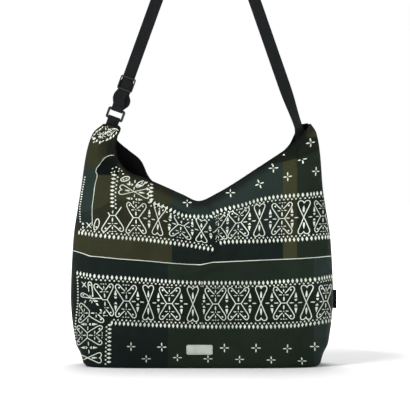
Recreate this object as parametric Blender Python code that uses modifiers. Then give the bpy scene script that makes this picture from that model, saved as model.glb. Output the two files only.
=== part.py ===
"""Open-topped shoulder bag of printed cloth with an adjustable webbing strap.

Metres, +Z up, the front faces -Y. The bag stands on its flat base at z = 0.
Each cloth is a thin shell that runs from the seam under the base, round the
lower edge and up to the V-shaped mouth, with a tall horn at either end. The
left horn holds a webbing tab with a rectangular loop. The strap is threaded
through that loop and a three-bar slider, passes over the top and is sewn
inside the right horn.
"""

import math

import bmesh
import bpy
import numpy as np
from mathutils import Matrix, Vector

# Body of the bag
BELLY_WIDTH = 0.446
BELLY_HEIGHT = 0.115
BASE_WIDTH = 0.404
BASE_DEPTH = 0.122
BELLY_DEPTH = 0.136
SHOULDER_HEIGHT = 0.300
SHOULDER_WIDTH = 0.411
HORN_HEIGHT = 0.410
LOWER_EDGE_RADIUS = 0.010

# Horns: how far each stands from the middle plane, and its depth at the tip
LEFT_HORN_REACH = 0.1675
LEFT_HORN_WIDTH = 0.027
LEFT_HORN_DEPTH = 0.019
RIGHT_HORN_REACH = 0.185
RIGHT_HORN_WIDTH = 0.018
RIGHT_HORN_DEPTH = 0.054

# Mouth
MOUTH_LOW_HEIGHT = 0.282
MOUTH_LOW_X = -0.005
MOUTH_DEPTH = 0.086
BACK_MOUTH_DROP = 0.003

# Cloth
OUTER_THICKNESS = 0.0012
LINING_THICKNESS = 0.0008
EDGING_DIAMETER = 0.0030
CLEARANCE = 0.0003

# Webbing and its route
STRAP_WIDTH = 0.0205
STRAP_THICKNESS = 0.0011
LEFT_LEAN = math.radians(20.0)
RIGHT_LEAN = math.radians(19.3)
APEX_RADIUS = 0.030
TAB_REACH = 0.0215
TAB_DEPTH_IN_HORN = 0.013
TAB_FLARE = 0.006
FRONT_RUN_START = 0.0075
QUARTER_TURN_LENGTH = 0.070
RIGHT_TURN = math.radians(-50.0)
RIGHT_TURN_LENGTH = 0.090
RIGHT_ENTRY_X = 0.163
RIGHT_ENTRY_Y = 0.0045
SEWN_DEPTH_IN_HORN = 0.022
STRAP_END_LENGTH = 0.026
STRAP_END_SHARE = 0.965

# Rectangular loop
LOOP_BAR = 0.0040
LOOP_ARM = 0.0042
LOOP_WINDOW_HEIGHT = 0.0120
SIDE_PLAY = 0.0008

# Three-bar slider
SLIDER_DISTANCE = 0.055
SLIDER_LENGTH = 0.0245
SLIDER_RAIL = 0.0023
SLIDER_OUTER_BAR = 0.0031
SLIDER_CENTRE_BAR = 0.0052
SLIDER_BAR_THICKNESS = 0.0020
SLIDER_CORNER = 0.0030
SEWN_END_LENGTH = 0.013

# Sewn-on label and tag
LABEL_WIDTH = 0.0435
LABEL_HEIGHT = 0.0168
LABEL_X = -0.0040
LABEL_CENTRE_HEIGHT = 0.0270
LABEL_THICKNESS = 0.0006
TAG_WIDTH = 0.0060
TAG_HEIGHT = 0.0320
TAG_CENTRE_HEIGHT = 0.112
TAG_THICKNESS = 0.0012

# Facets
COLUMNS = 33
WALL_ROWS = (0.0, 0.06, 0.14, 0.24, 0.36, 0.48, 0.60, 0.71, 0.80, 0.87, 0.925, 0.965, 1.0)
EDGE_STEPS = 3
TURN_STEPS = 16
RIGHT_RUN_STEPS = 30
BEND_STEPS = 6
WRAP_STEPS = 10
BASE_ROWS = (0.0, 0.5)

LINING_OUTSIDE = OUTER_THICKNESS + CLEARANCE
CLOTH_TOTAL = LINING_OUTSIDE + LINING_THICKNESS
STRAP_PLANE_Y = -(STRAP_THICKNESS / 2 + CLEARANCE + LOOP_BAR / 2)
LOWER_BAR_Z = -(LOOP_WINDOW_HEIGHT + LOOP_BAR) / 2
UPPER_BAR_Z = -LOWER_BAR_Z
LOOP_ROUNDING = min(LOOP_BAR, LOOP_ARM) * 0.30
WRAP_RADIUS = LOOP_BAR * 0.665 + CLEARANCE + STRAP_THICKNESS / 2
# The side tag reaches further out than the bag, which moves left to stay centred.
BAG_SHIFT = -(CLEARANCE + TAG_WIDTH) / 2


def material(name, colour, roughness):
    made = bpy.data.materials.new(name)
    made.use_nodes = True
    shader = made.node_tree.nodes["Principled BSDF"]
    shader.inputs["Base Color"].default_value = (*colour, 1.0)
    shader.inputs["Roughness"].default_value = roughness
    shader.inputs["Metallic"].default_value = 0.0
    made.diffuse_color = (*colour, 1.0)
    return made


def add_object(name, mesh, collection, finish, smooth_angle=None):
    obj = bpy.data.objects.new(name, mesh)
    collection.objects.link(obj)
    mesh.materials.append(finish)
    if smooth_angle is not None:
        mesh.shade_smooth()
        mesh.set_sharp_from_angle(angle=smooth_angle)
    return obj


def mesh_from_bmesh(name, bm):
    bmesh.ops.recalc_face_normals(bm, faces=bm.faces)
    if bm.calc_volume(signed=True) < 0:
        bmesh.ops.reverse_faces(bm, faces=bm.faces)
    mesh = bpy.data.meshes.new(name)
    bm.to_mesh(mesh)
    bm.free()
    return mesh


def along(points, value):
    """A smooth curve through (value, result) pairs that never overshoots them."""
    xs = [p[0] for p in points]
    ys = [p[1] for p in points]
    if value <= xs[0]:
        return ys[0]
    if value >= xs[-1]:
        return ys[-1]
    i = max(k for k in range(len(xs) - 1) if xs[k] <= value)
    rises = [(ys[k + 1] - ys[k]) / (xs[k + 1] - xs[k]) for k in range(len(xs) - 1)]

    def slope(k):
        if k in (0, len(xs) - 1):
            return rises[min(k, len(rises) - 1)]
        before, after = rises[k - 1], rises[k]
        return 0.0 if before * after <= 0 else 2 * before * after / (before + after)

    step = xs[i + 1] - xs[i]
    t = (value - xs[i]) / step
    return (
        (2 * t**3 - 3 * t**2 + 1) * ys[i]
        + (t**3 - 2 * t**2 + t) * step * slope(i)
        + (3 * t**2 - 2 * t**3) * ys[i + 1]
        + (t**3 - t**2) * step * slope(i + 1)
    )


# Shape of the body. Heights between the belly and the horns keep their order
# when one of them changes, because they are placed between the named ones.


def between(low, high, share):
    return low + (high - low) * share


def side_profile(horn_reach):
    """(height, distance from the middle plane) of a side seam, base to horn tip."""
    shoulder = SHOULDER_WIDTH / 2
    belly = BELLY_WIDTH / 2
    base = BASE_WIDTH / 2
    return [
        (0.0, base),
        (BELLY_HEIGHT * 0.35, between(base, belly, 0.62)),
        (BELLY_HEIGHT, belly),
        (between(BELLY_HEIGHT, SHOULDER_HEIGHT, 0.5), between(belly, shoulder, 0.22)),
        (SHOULDER_HEIGHT, shoulder),
        (between(SHOULDER_HEIGHT, HORN_HEIGHT, 0.55), between(shoulder, horn_reach, 0.24)),
        (between(SHOULDER_HEIGHT, HORN_HEIGHT, 0.86), between(shoulder, horn_reach, 0.54)),
        (HORN_HEIGHT, horn_reach),
    ]


LEFT_SIDE = side_profile(LEFT_HORN_REACH)
RIGHT_SIDE = side_profile(RIGHT_HORN_REACH)
LEFT_DEPTH = [
    (0.0, BASE_DEPTH / 2),
    (BELLY_HEIGHT, BELLY_DEPTH / 2),
    (MOUTH_LOW_HEIGHT, MOUTH_DEPTH / 2),
    (between(MOUTH_LOW_HEIGHT, HORN_HEIGHT, 0.55), between(MOUTH_DEPTH, LEFT_HORN_DEPTH, 0.45) / 2),
    (HORN_HEIGHT, LEFT_HORN_DEPTH / 2),
]
RIGHT_DEPTH = LEFT_DEPTH[:3] + [(HORN_HEIGHT, RIGHT_HORN_DEPTH / 2)]
SQUARENESS = [(0.0, 4.2), (BELLY_HEIGHT, 3.3), (MOUTH_LOW_HEIGHT, 2.7), (HORN_HEIGHT, 2.3)]


def side_reach(z):
    """x of the left and the right side seam at height z."""
    return -along(LEFT_SIDE, z), along(RIGHT_SIDE, z)


def across(x, z, inset=0.0):
    """How far x lies from the left end (0) to the right one (1) of a skin at height z."""
    left, right = side_reach(z)
    share = (x - left - inset) / (right - left - 2 * inset)
    return min(max(share, 0.0), 1.0)


def wall_point(side, share, z, inset, height=None):
    """A point on the front (side -1) or back (+1) wall, inset towards the inside."""
    left, right = side_reach(z)
    power = along(SQUARENESS, z)
    bulge = max(0.0, 1 - abs(2 * share - 1) ** power) ** (1 / power)
    depth = between(along(LEFT_DEPTH, z), along(RIGHT_DEPTH, z), share)
    return Vector((
        between(left + inset, right - inset, share),
        side * (CLEARANCE / 2 + (depth - CLEARANCE / 2 - inset) * bulge),
        z if height is None else height,
    ))


LEFT_TIP = (-LEFT_HORN_REACH + LEFT_HORN_WIDTH, HORN_HEIGHT - 0.008)
RIGHT_TIP = (RIGHT_HORN_REACH - RIGHT_HORN_WIDTH, HORN_HEIGHT - 0.002)


def v_mouth(left_start, right_start, low_height, left_shares, right_shares):
    """Points down one flank of the mouth to its lowest point and up the other.

    A share is (across, up): 0 is the lowest point and 1 the flank's start.
    """
    low = (MOUTH_LOW_X, low_height)

    def flank(start, shares):
        return [(between(low[0], start[0], a), between(low[1], start[1], u)) for a, u in shares]

    return flank(left_start, left_shares) + [low] + flank(right_start, right_shares)


def mouth_points(side):
    """(x, z) of the mouth edge from the left seam to the right seam."""
    left_top = (-LEFT_HORN_REACH, HORN_HEIGHT)
    right_top = (RIGHT_HORN_REACH, HORN_HEIGHT)
    left_neck = (LEFT_TIP[0] - 0.008, LEFT_TIP[1] - 0.034)
    over_left = [
        (between(left_top[0], LEFT_TIP[0], a), between(left_top[1], LEFT_TIP[1], u))
        for a, u in ((0.0, 0.0), (0.07, 0.0), (0.30, 0.15), (0.62, 0.5), (1.0, 1.0))
    ]
    if side < 0:
        # The front edge hangs straight down beside the left horn, then slopes.
        left_shares = ((0.972, 0.795), (0.90, 0.62), (0.80, 0.50), (0.61, 0.40), (0.40, 0.265),
                       (0.20, 0.125))
        right_shares = ((0.17, 0.12), (0.34, 0.275), (0.51, 0.44), (0.68, 0.60), (0.835, 0.735),
                        (0.92, 0.83), (0.975, 0.945))
        over_left += [(LEFT_TIP[0] - 0.006, LEFT_TIP[1] - 0.015), left_neck]
        curve = v_mouth(left_neck, right_top, MOUTH_LOW_HEIGHT, left_shares, right_shares)
        return over_left + curve + [right_top]
    left_shares = ((0.86, 0.87), (0.71, 0.66), (0.60, 0.45), (0.40, 0.24), (0.20, 0.11))
    right_shares = ((0.20, 0.13), (0.40, 0.30), (0.60, 0.475), (0.77, 0.62), (0.90, 0.74),
                    (0.955, 0.87))
    over_left += [(left_neck[0] + 0.002, left_neck[1] + 0.014)]
    curve = v_mouth(
        (left_neck[0], left_neck[1] + 0.008), RIGHT_TIP,
        MOUTH_LOW_HEIGHT - BACK_MOUTH_DROP, left_shares, right_shares,
    )
    over_right = [
        (between(RIGHT_TIP[0], right_top[0], a), between(RIGHT_TIP[1], right_top[1], a))
        for a in (0.0, 0.28, 0.56, 0.80, 0.94, 1.0)
    ]
    return over_left + curve + over_right


def curve_through(points, count):
    """count + 1 points evenly along the control points' own numbering."""
    ends = [points[0]] + list(points) + [points[-1]]
    made = []
    for k in range(count + 1):
        place = k * (len(points) - 1) / count
        i = min(int(place), len(points) - 2)
        t = place - i
        p = [np.array(ends[i + n], float) for n in range(4)]
        made.append(0.5 * (
            2 * p[1] + (p[2] - p[0]) * t
            + (2 * p[0] - 5 * p[1] + 4 * p[2] - p[3]) * t**2
            + (3 * p[1] - p[0] - 3 * p[2] + p[3]) * t**3
        ))
    return made


MOUTH = {side: curve_through(mouth_points(side), COLUMNS) for side in (-1, 1)}


def cloth_column(side, column, inset):
    """Points of one skin from the seam under the base, up to the mouth."""
    x_top, z_top = MOUTH[side][column]
    share_top = across(x_top, z_top, inset)
    if column in (0, COLUMNS):
        share_top = float(column > 0)
    share_low = 0.5 * (1 - math.cos(math.pi * column / COLUMNS))
    radius = LOWER_EDGE_RADIUS
    points = []
    rim = wall_point(side, share_low, radius, radius, inset)
    for row in BASE_ROWS:
        points.append(Vector((rim.x, side * CLEARANCE / 2 + (rim.y - side * CLEARANCE / 2) * row, inset)))
    for step in range(EDGE_STEPS):
        angle = math.pi / 2 * step / EDGE_STEPS
        drawn_in = radius - (radius - inset) * math.sin(angle)
        height = radius - (radius - inset) * math.cos(angle)
        points.append(wall_point(side, share_low, radius, drawn_in, height))
    for row in WALL_ROWS:
        z = between(radius, z_top, row)
        share = between(share_low, share_top, row**1.6)
        points.append(wall_point(side, share, z, inset))
    return points


def cloth_shell(name, side, inset, thickness, collection, finish):
    """A cloth as a closed shell between two skins that share their columns."""
    bm = bmesh.new()
    skins = []
    for depth in (inset, inset + thickness):
        columns = [cloth_column(side, k, depth) for k in range(COLUMNS + 1)]
        skins.append([[bm.verts.new(p) for p in column] for column in columns])
    rows = len(skins[0][0])
    outer, inner = skins
    # Every skin is split along the same diagonals, which keeps the cloths apart.
    for k in range(COLUMNS):
        for j in range(rows - 1):
            for skin in skins:
                a, b = skin[k][j], skin[k + 1][j]
                c, d = skin[k + 1][j + 1], skin[k][j + 1]
                for corners in ((a, b, c), (a, c, d)):
                    bm.faces.new(corners)
        for j in (0, rows - 1):
            bm.faces.new((outer[k][j], outer[k + 1][j], inner[k + 1][j], inner[k][j]))
    for k in (0, COLUMNS):
        for j in range(rows - 1):
            bm.faces.new((outer[k][j], outer[k][j + 1], inner[k][j + 1], inner[k][j]))
    # At the two ends of the base the rows run together into one point.
    bmesh.ops.remove_doubles(bm, verts=bm.verts, dist=1e-6)
    bmesh.ops.dissolve_degenerate(bm, edges=bm.edges, dist=1e-6)
    return add_object(name, mesh_from_bmesh(name, bm), collection, finish, math.radians(40))


def patch_on_wall(name, side, x_range, z_range, steps, gap, thickness, collection, finish):
    """A thin cloth patch that lies on the outside of a wall."""
    bm = bmesh.new()
    skins = []
    for lift in (gap, gap + thickness):
        grid = []
        for i in range(steps[0] + 1):
            x = between(*x_range, i / steps[0])
            grid.append([])
            for j in range(steps[1] + 1):
                z = between(*z_range, j / steps[1])
                point = wall_point(side, across(x, z), z, 0.0)
                grid[-1].append(bm.verts.new(point + Vector((0, side * lift, 0))))
        skins.append(grid)
    outer, inner = skins
    for i in range(steps[0]):
        for j in range(steps[1]):
            for skin in skins:
                bm.faces.new((skin[i][j], skin[i + 1][j], skin[i + 1][j + 1], skin[i][j + 1]))
    for i in range(steps[0]):
        for j in (0, steps[1]):
            bm.faces.new((outer[i][j], outer[i + 1][j], inner[i + 1][j], inner[i][j]))
    for j in range(steps[1]):
        for i in (0, steps[0]):
            bm.faces.new((outer[i][j], outer[i][j + 1], inner[i][j + 1], inner[i][j]))
    return add_object(name, mesh_from_bmesh(name, bm), collection, finish)


def mouth_edging(name, side, first_column, last_column, collection, finish):
    """The rolled edging that closes the mouth edge of cloth and lining."""
    radius = EDGING_DIAMETER / 2
    edge = []
    for column in range(first_column, last_column + 1):
        outside = cloth_column(side, column, 0.0)[-1]
        inside = cloth_column(side, column, CLOTH_TOTAL)[-1]
        edge.append((outside + inside) / 2)
    away = []
    for start, end in zip(edge, edge[1:]):
        away.append(Vector((start.z - end.z, 0, end.x - start.x)).normalized())
    path = []
    for k, point in enumerate(edge):
        before, after = away[max(k - 1, 0)], away[min(k, len(away) - 1)]
        # Mitred, so that the edging stays clear of both stretches that meet at a corner.
        mitre = (before + after) / (1 + before.dot(after))
        path.append(point + mitre * (radius + 2 * CLEARANCE))
    curve = bpy.data.curves.new(name, "CURVE")
    curve.dimensions = "3D"
    curve.bevel_depth = radius
    curve.bevel_resolution = 2
    curve.use_fill_caps = True
    spline = curve.splines.new("POLY")
    spline.points.add(len(path) - 1)
    for spot, point in zip(spline.points, path):
        spot.co = (*point, 1.0)
    curve.materials.append(finish)
    obj = bpy.data.objects.new(name, curve)
    collection.objects.link(obj)
    return obj


# Strap hardware is modelled in the strap's own frame: X across the webbing,
# Z up along it, Y through it, with the origin in the middle of the loop.


def strap_frame():
    """World matrix of the left strap's frame at the middle of the loop."""
    lean = Matrix.Rotation(LEFT_LEAN, 4, "Y")
    exit_point = Vector((
        (LEFT_TIP[0] - LEFT_HORN_REACH) / 2, 0.0, (LEFT_TIP[1] + HORN_HEIGHT) / 2,
    ))
    up = lean @ Vector((0, 0, 1))
    return Matrix.Translation(exit_point + up * TAB_REACH) @ lean


def box_mesh(name, low, high, collection, finish=None):
    bm = bmesh.new()
    bmesh.ops.create_cube(bm, size=1.0)
    low, high = Vector(low), Vector(high)
    size = high - low
    centre = (high + low) / 2
    for vertex in bm.verts:
        vertex.co = Vector((v * s for v, s in zip(vertex.co, size))) + centre
    mesh = mesh_from_bmesh(name, bm)
    obj = bpy.data.objects.new(name, mesh)
    collection.objects.link(obj)
    if finish:
        mesh.materials.append(finish)
    return obj


def round_edges(obj, width, segments=2, angle=35.0, clamp=True):
    bevel = obj.modifiers.new("round_edges", "BEVEL")
    bevel.width = width
    bevel.segments = segments
    bevel.limit_method = "ANGLE"
    bevel.angle_limit = math.radians(angle)
    bevel.use_clamp_overlap = clamp


def cut(obj, cutter):
    cutter.hide_render = True
    cutter.display_type = "WIRE"
    boolean = obj.modifiers.new("cut_" + cutter.name, "BOOLEAN")
    boolean.operation = "DIFFERENCE"
    boolean.object = cutter
    boolean.solver = "EXACT"


def plate_outline(name, width, height, corner, thickness, collection, finish=None):
    """A flat plate in the XZ plane with round corners, centred on the origin."""
    bm = bmesh.new()
    ring = []
    for sx, sz, start in ((1, 1, 0), (-1, 1, 90), (-1, -1, 180), (1, -1, 270)):
        for step in range(5):
            angle = math.radians(start + 90 * step / 4)
            ring.append(bm.verts.new((
                sx * (width / 2 - corner) + corner * math.cos(angle),
                -thickness / 2,
                sz * (height / 2 - corner) + corner * math.sin(angle),
            )))
    face = bm.faces.new(ring)
    made = bmesh.ops.extrude_face_region(bm, geom=[face])
    moved = [v for v in made["geom"] if isinstance(v, bmesh.types.BMVert)]
    bmesh.ops.translate(bm, verts=moved, vec=(0, thickness, 0))
    mesh = mesh_from_bmesh(name, bm)
    obj = bpy.data.objects.new(name, mesh)
    collection.objects.link(obj)
    if finish:
        mesh.materials.append(finish)
    return obj


def rectangular_loop(collection, cutters, finish):
    """The moulded loop between tab and strap, bars above and below its window."""
    window_width = STRAP_WIDTH + 2 * SIDE_PLAY
    outer_width = window_width + 2 * LOOP_ARM
    outer_height = LOOP_WINDOW_HEIGHT + 2 * LOOP_BAR
    loop = plate_outline(
        "rectangular_loop", outer_width, outer_height, LOOP_ARM * 0.8, LOOP_BAR, collection, finish
    )
    window = box_mesh(
        "loop_window",
        (-window_width / 2, -LOOP_BAR, -LOOP_WINDOW_HEIGHT / 2),
        (window_width / 2, LOOP_BAR, LOOP_WINDOW_HEIGHT / 2),
        cutters,
    )
    cut(loop, window)
    round_edges(loop, LOOP_ROUNDING, clamp=False)
    loop.data.shade_smooth()
    return loop, window


def slider_layers():
    """y of the slider's faces: front of outer bars, their back, centre bar front and back."""
    half = STRAP_THICKNESS / 2
    outer_back = -(half + CLEARANCE)
    outer_front = outer_back - SLIDER_BAR_THICKNESS
    centre_front = half + 2 * CLEARANCE + STRAP_THICKNESS
    return outer_front, outer_back, centre_front, centre_front + SLIDER_BAR_THICKNESS


def slider(collection, cutters, finish):
    """Three-bar slider: outer bars in front of the strap, centre bar behind it."""
    outer_front, outer_back, centre_front, centre_back = slider_layers()
    thickness = centre_back - outer_front
    middle = (centre_back + outer_front) / 2
    passage = STRAP_WIDTH + 2 * SIDE_PLAY
    body = plate_outline(
        "slider", passage + 2 * SLIDER_RAIL, SLIDER_LENGTH, SLIDER_CORNER, thickness,
        collection, finish,
    )
    for vertex in body.data.vertices:
        vertex.co.y += middle
    half = passage / 2
    end = SLIDER_LENGTH
    window = SLIDER_LENGTH / 2 - SLIDER_OUTER_BAR
    bar = SLIDER_CENTRE_BAR / 2
    deep = thickness * 2
    shapes = {
        "slider_front_window": ((-half, -deep, -window), (half, centre_front, window)),
        "slider_strap_passage": ((-half, outer_back, -end), (half, centre_front, end)),
        "slider_upper_slot": ((-half, outer_back, bar), (half, deep, end)),
        "slider_lower_slot": ((-half, outer_back, -end), (half, deep, -bar)),
    }
    made = []
    for name, (low, high) in shapes.items():
        cutter = box_mesh(name, low, high, cutters)
        cut(body, cutter)
        made.append(cutter)
    round_edges(body, min(SLIDER_RAIL, SLIDER_BAR_THICKNESS) * 0.22)
    body.data.shade_smooth()
    return body, made


def band(name, centre, collection, finish):
    """Webbing bent in the YZ plane and extruded across X.

    centre is the middle line as (y, z) points, open at both ends.
    """
    half = STRAP_THICKNESS / 2
    sides = ([], [])
    for k, (y, z) in enumerate(centre):
        before = centre[max(k - 1, 0)]
        after = centre[min(k + 1, len(centre) - 1)]
        run = Vector((after[0] - before[0], after[1] - before[1])).normalized()
        sides[0].append((y - run.y * half, z + run.x * half))
        sides[1].append((y + run.y * half, z - run.x * half))
    bm = bmesh.new()
    edges = []
    for x in (-STRAP_WIDTH / 2, STRAP_WIDTH / 2):
        edges.append([[bm.verts.new((x, y, z)) for y, z in side] for side in sides])
    left, right = edges
    last = len(centre) - 1
    for k in range(last):
        for face in (left, right):
            bm.faces.new((face[0][k], face[0][k + 1], face[1][k + 1], face[1][k]))
        for s in (0, 1):
            bm.faces.new((left[s][k], left[s][k + 1], right[s][k + 1], right[s][k]))
    for k in (0, last):
        bm.faces.new((left[0][k], left[1][k], right[1][k], right[0][k]))
    return add_object(name, mesh_from_bmesh(name, bm), collection, finish, math.radians(40))


def arc(centre_y, centre_z, radius, start, stop, steps):
    """(y, z) points of an arc, angles in degrees from +Y towards +Z."""
    return [
        (
            centre_y + radius * math.cos(math.radians(between(start, stop, k / steps))),
            centre_z + radius * math.sin(math.radians(between(start, stop, k / steps))),
        )
        for k in range(steps + 1)
    ]


def ring_tab(collection, finish):
    """Webbing folded round the lower bar, its two legs sewn into the left horn."""
    radius = WRAP_RADIUS
    frame = strap_frame()
    foot = -TAB_REACH - TAB_DEPTH_IN_HORN
    pinch = LOWER_BAR_Z - radius * 1.9
    leg = STRAP_THICKNESS / 2 + CLEARANCE / 2
    # The legs spread again at the foot until they lie against the lining.
    corner = frame @ Vector((-STRAP_WIDTH / 2, 0, foot))
    lining = wall_point(1, across(corner.x, corner.z, CLOTH_TOTAL), corner.z, CLOTH_TOTAL)
    spread = max(leg, lining.y - 3 * CLEARANCE - STRAP_THICKNESS / 2)
    front = [(-spread, foot), (-leg, foot + TAB_FLARE), (-leg, pinch)]
    round_bar = arc(0, LOWER_BAR_Z, radius, 215, -35, WRAP_STEPS)
    back = [(-y, z) for y, z in reversed(front)]
    return band("ring_tab", front + round_bar + back, collection, finish)


def strap_return(collection, finish):
    """Lower end of the strap: round the upper bar and up behind to the slider."""
    reach = -STRAP_PLANE_Y
    bend = LOOP_ROUNDING + CLEARANCE + STRAP_THICKNESS / 2
    turn_z = UPPER_BAR_Z - reach + bend
    centre_back = slider_layers()[3] + STRAP_PLANE_Y
    lane = centre_back + CLEARANCE + STRAP_THICKNESS / 2
    top = SLIDER_DISTANCE - SLIDER_CENTRE_BAR / 2 - SEWN_END_LENGTH - CLEARANCE
    front_end = UPPER_BAR_Z + FRONT_RUN_START - CLEARANCE
    centre = [(STRAP_PLANE_Y, front_end), (STRAP_PLANE_Y, UPPER_BAR_Z + 0.001)]
    centre += arc(bend - reach, turn_z, bend, 180, 270, WRAP_STEPS // 2)
    centre += arc(reach - bend, turn_z, bend, 270, 360, WRAP_STEPS // 2)
    centre += [(reach, UPPER_BAR_Z + 0.001),
               (between(reach, lane, 0.6), between(UPPER_BAR_Z, top, 0.5)),
               (lane, top - 0.002), (lane, top)]
    return band("strap_return", centre, collection, finish)


def strap_sewn_end(collection, finish):
    """The webbing's end, wrapped round the slider's centre bar and sewn to itself."""
    centre_front, centre_back = (y + STRAP_PLANE_Y for y in slider_layers()[2:])
    front = centre_front - CLEARANCE - STRAP_THICKNESS / 2
    back = centre_back + CLEARANCE + STRAP_THICKNESS / 2
    over = SLIDER_CENTRE_BAR / 2 + CLEARANCE + STRAP_THICKNESS / 2
    foot = SLIDER_DISTANCE - SLIDER_CENTRE_BAR / 2 - SEWN_END_LENGTH
    join = SLIDER_DISTANCE - over
    tuck = back - STRAP_THICKNESS - CLEARANCE / 2
    corner = 0.0008
    centre = [(back, foot), (back, SLIDER_DISTANCE + over - corner),
              (back - corner, SLIDER_DISTANCE + over), (front + corner, SLIDER_DISTANCE + over),
              (front, SLIDER_DISTANCE + over - corner), (front, join + corner),
              (front + corner, join), (tuck - corner, join - corner), (tuck, join - 2 * corner),
              (tuck, foot)]
    return band("strap_sewn_end", centre, collection, finish)


def end_chord():
    """Where the strap's right end lies on the back lining: centres and width direction."""
    inset = CLOTH_TOTAL + 2 * CLEARANCE + STRAP_THICKNESS
    high = RIGHT_TIP[1] - SEWN_DEPTH_IN_HORN

    def chord(z):
        far = wall_point(1, STRAP_END_SHARE, z, inset)
        low, high = 0.5, STRAP_END_SHARE
        for _ in range(40):
            middle = (low + high) / 2
            if (wall_point(1, middle, z, inset) - far).length > STRAP_WIDTH:
                low = middle
            else:
                high = middle
        near = wall_point(1, low, z, inset)
        return (near + far) / 2, (far - near).normalized()

    return chord(high - STRAP_END_LENGTH), chord(high)


def turned(up, angle):
    """Direction across the webbing, turned about its run from the front view."""
    across_run = Vector((up.z, 0, -up.x))
    return (across_run * math.cos(angle) + Vector((0, 1, 0)) * math.sin(angle)).normalized()


def strap_stations():
    """(centre, direction across) pairs along the strap, from above the loop to its right end."""
    frame = strap_frame()
    up_left = (frame.to_3x3() @ Vector((0, 0, 1))).normalized()
    up_right = Vector((-math.sin(RIGHT_LEAN), 0, math.cos(RIGHT_LEAN)))
    start = frame @ Vector((0, STRAP_PLANE_Y, UPPER_BAR_Z + FRONT_RUN_START))
    entry = Vector((RIGHT_ENTRY_X, RIGHT_ENTRY_Y, RIGHT_TIP[1]))

    # Both straight runs, carried on, meet at a point above the rounded top.
    reach = ((entry.x - start.x) * up_right.z - (entry.z - start.z) * up_right.x) / (
        up_left.x * up_right.z - up_left.z * up_right.x
    )
    sweep = math.pi - LEFT_LEAN - RIGHT_LEAN
    left_run = reach - APEX_RADIUS * math.tan(sweep / 2)
    outward = Vector((-up_left.z, 0, up_left.x))
    hub = start + up_left * left_run - outward * APEX_RADIUS

    stations = [(start, turned(up_left, 0.0))]
    for k in range(TURN_STEPS + 1):
        distance = left_run - QUARTER_TURN_LENGTH * (1 - k / TURN_STEPS)
        angle = math.pi / 2 * smoothstep(k / TURN_STEPS)
        stations.append((start + up_left * distance, turned(up_left, angle)))
    for k in range(1, TURN_STEPS + 1):
        radial = Matrix.Rotation(sweep * k / TURN_STEPS, 3, "Y") @ outward
        stations.append((hub + radial * APEX_RADIUS, Vector((0, 1, 0))))

    top = stations.pop()[0]
    right_run = (top - entry).length
    for k in range(RIGHT_RUN_STEPS + 1):
        distance = right_run * k / RIGHT_RUN_STEPS
        angle = math.pi / 2 * (1 - smoothstep(distance / QUARTER_TURN_LENGTH))
        if distance > QUARTER_TURN_LENGTH:
            left_over = right_run - distance
            angle = RIGHT_TURN * (1 - smoothstep(left_over / RIGHT_TURN_LENGTH))
        stations.append((top.lerp(entry, k / RIGHT_RUN_STEPS), turned(up_right, angle)))

    # A soft bend leads from the mouth to the end that is sewn on the back lining.
    (end_low, across_low), (end_high, across_high) = end_chord()
    span = (end_high - entry).length
    before_bend = entry + (entry - top).normalized() * span * 0.4
    after_bend = end_high + (end_high - end_low).normalized() * span * 0.4
    across_entry = stations[-1][1]
    for k in range(1, BEND_STEPS + 1):
        t = k / BEND_STEPS
        point = (
            entry * (1 - t) ** 3 + before_bend * 3 * t * (1 - t) ** 2
            + after_bend * 3 * t**2 * (1 - t) + end_high * t**3
        )
        stations.append((point, across_entry.lerp(across_high, smoothstep(t)).normalized()))
    stations.append((end_low, across_low))
    return stations


def smoothstep(t):
    t = min(max(t, 0.0), 1.0)
    return t * t * (3 - 2 * t)


def shoulder_strap(collection, finish):
    """The webbing from above the loop over the top to the right horn."""
    stations = strap_stations()
    bm = bmesh.new()
    rings = []
    for k, (point, width_way) in enumerate(stations):
        before = stations[max(k - 1, 0)][0]
        after = stations[min(k + 1, len(stations) - 1)][0]
        run = (after - before).normalized()
        width_way = (width_way - run * width_way.dot(run)).normalized()
        through = run.cross(width_way).normalized()
        ring = []
        for a, b in ((-1, -1), (1, -1), (1, 1), (-1, 1)):
            corner = point + width_way * a * STRAP_WIDTH / 2 + through * b * STRAP_THICKNESS / 2
            ring.append(bm.verts.new(corner))
        rings.append(ring)
    # Both broad faces are split along the same diagonal, so a twist keeps its thickness.
    for first, second in zip(rings, rings[1:]):
        for k in range(4):
            a, b = first[k], first[(k + 1) % 4]
            c, d = second[(k + 1) % 4], second[k]
            for corners in ((a, b, d), (b, c, d)) if k == 2 else ((a, b, c), (a, c, d)):
                bm.faces.new(corners)
    bm.faces.new(rings[0])
    bm.faces.new(rings[-1])
    return add_object("shoulder_strap", mesh_from_bmesh("shoulder_strap", bm), collection, finish,
                      math.radians(40))


def side_tag(collection, finish):
    """Folded tag caught in the right side seam."""
    low = TAG_CENTRE_HEIGHT - TAG_HEIGHT / 2
    high = TAG_CENTRE_HEIGHT + TAG_HEIGHT / 2
    start = max(side_reach(low + (high - low) * k / 8)[1] for k in range(9)) + CLEARANCE
    return box_mesh(
        "side_tag",
        (start, -TAG_THICKNESS / 2, low),
        (start + TAG_WIDTH, TAG_THICKNESS / 2, high),
        collection, finish,
    )


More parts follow.
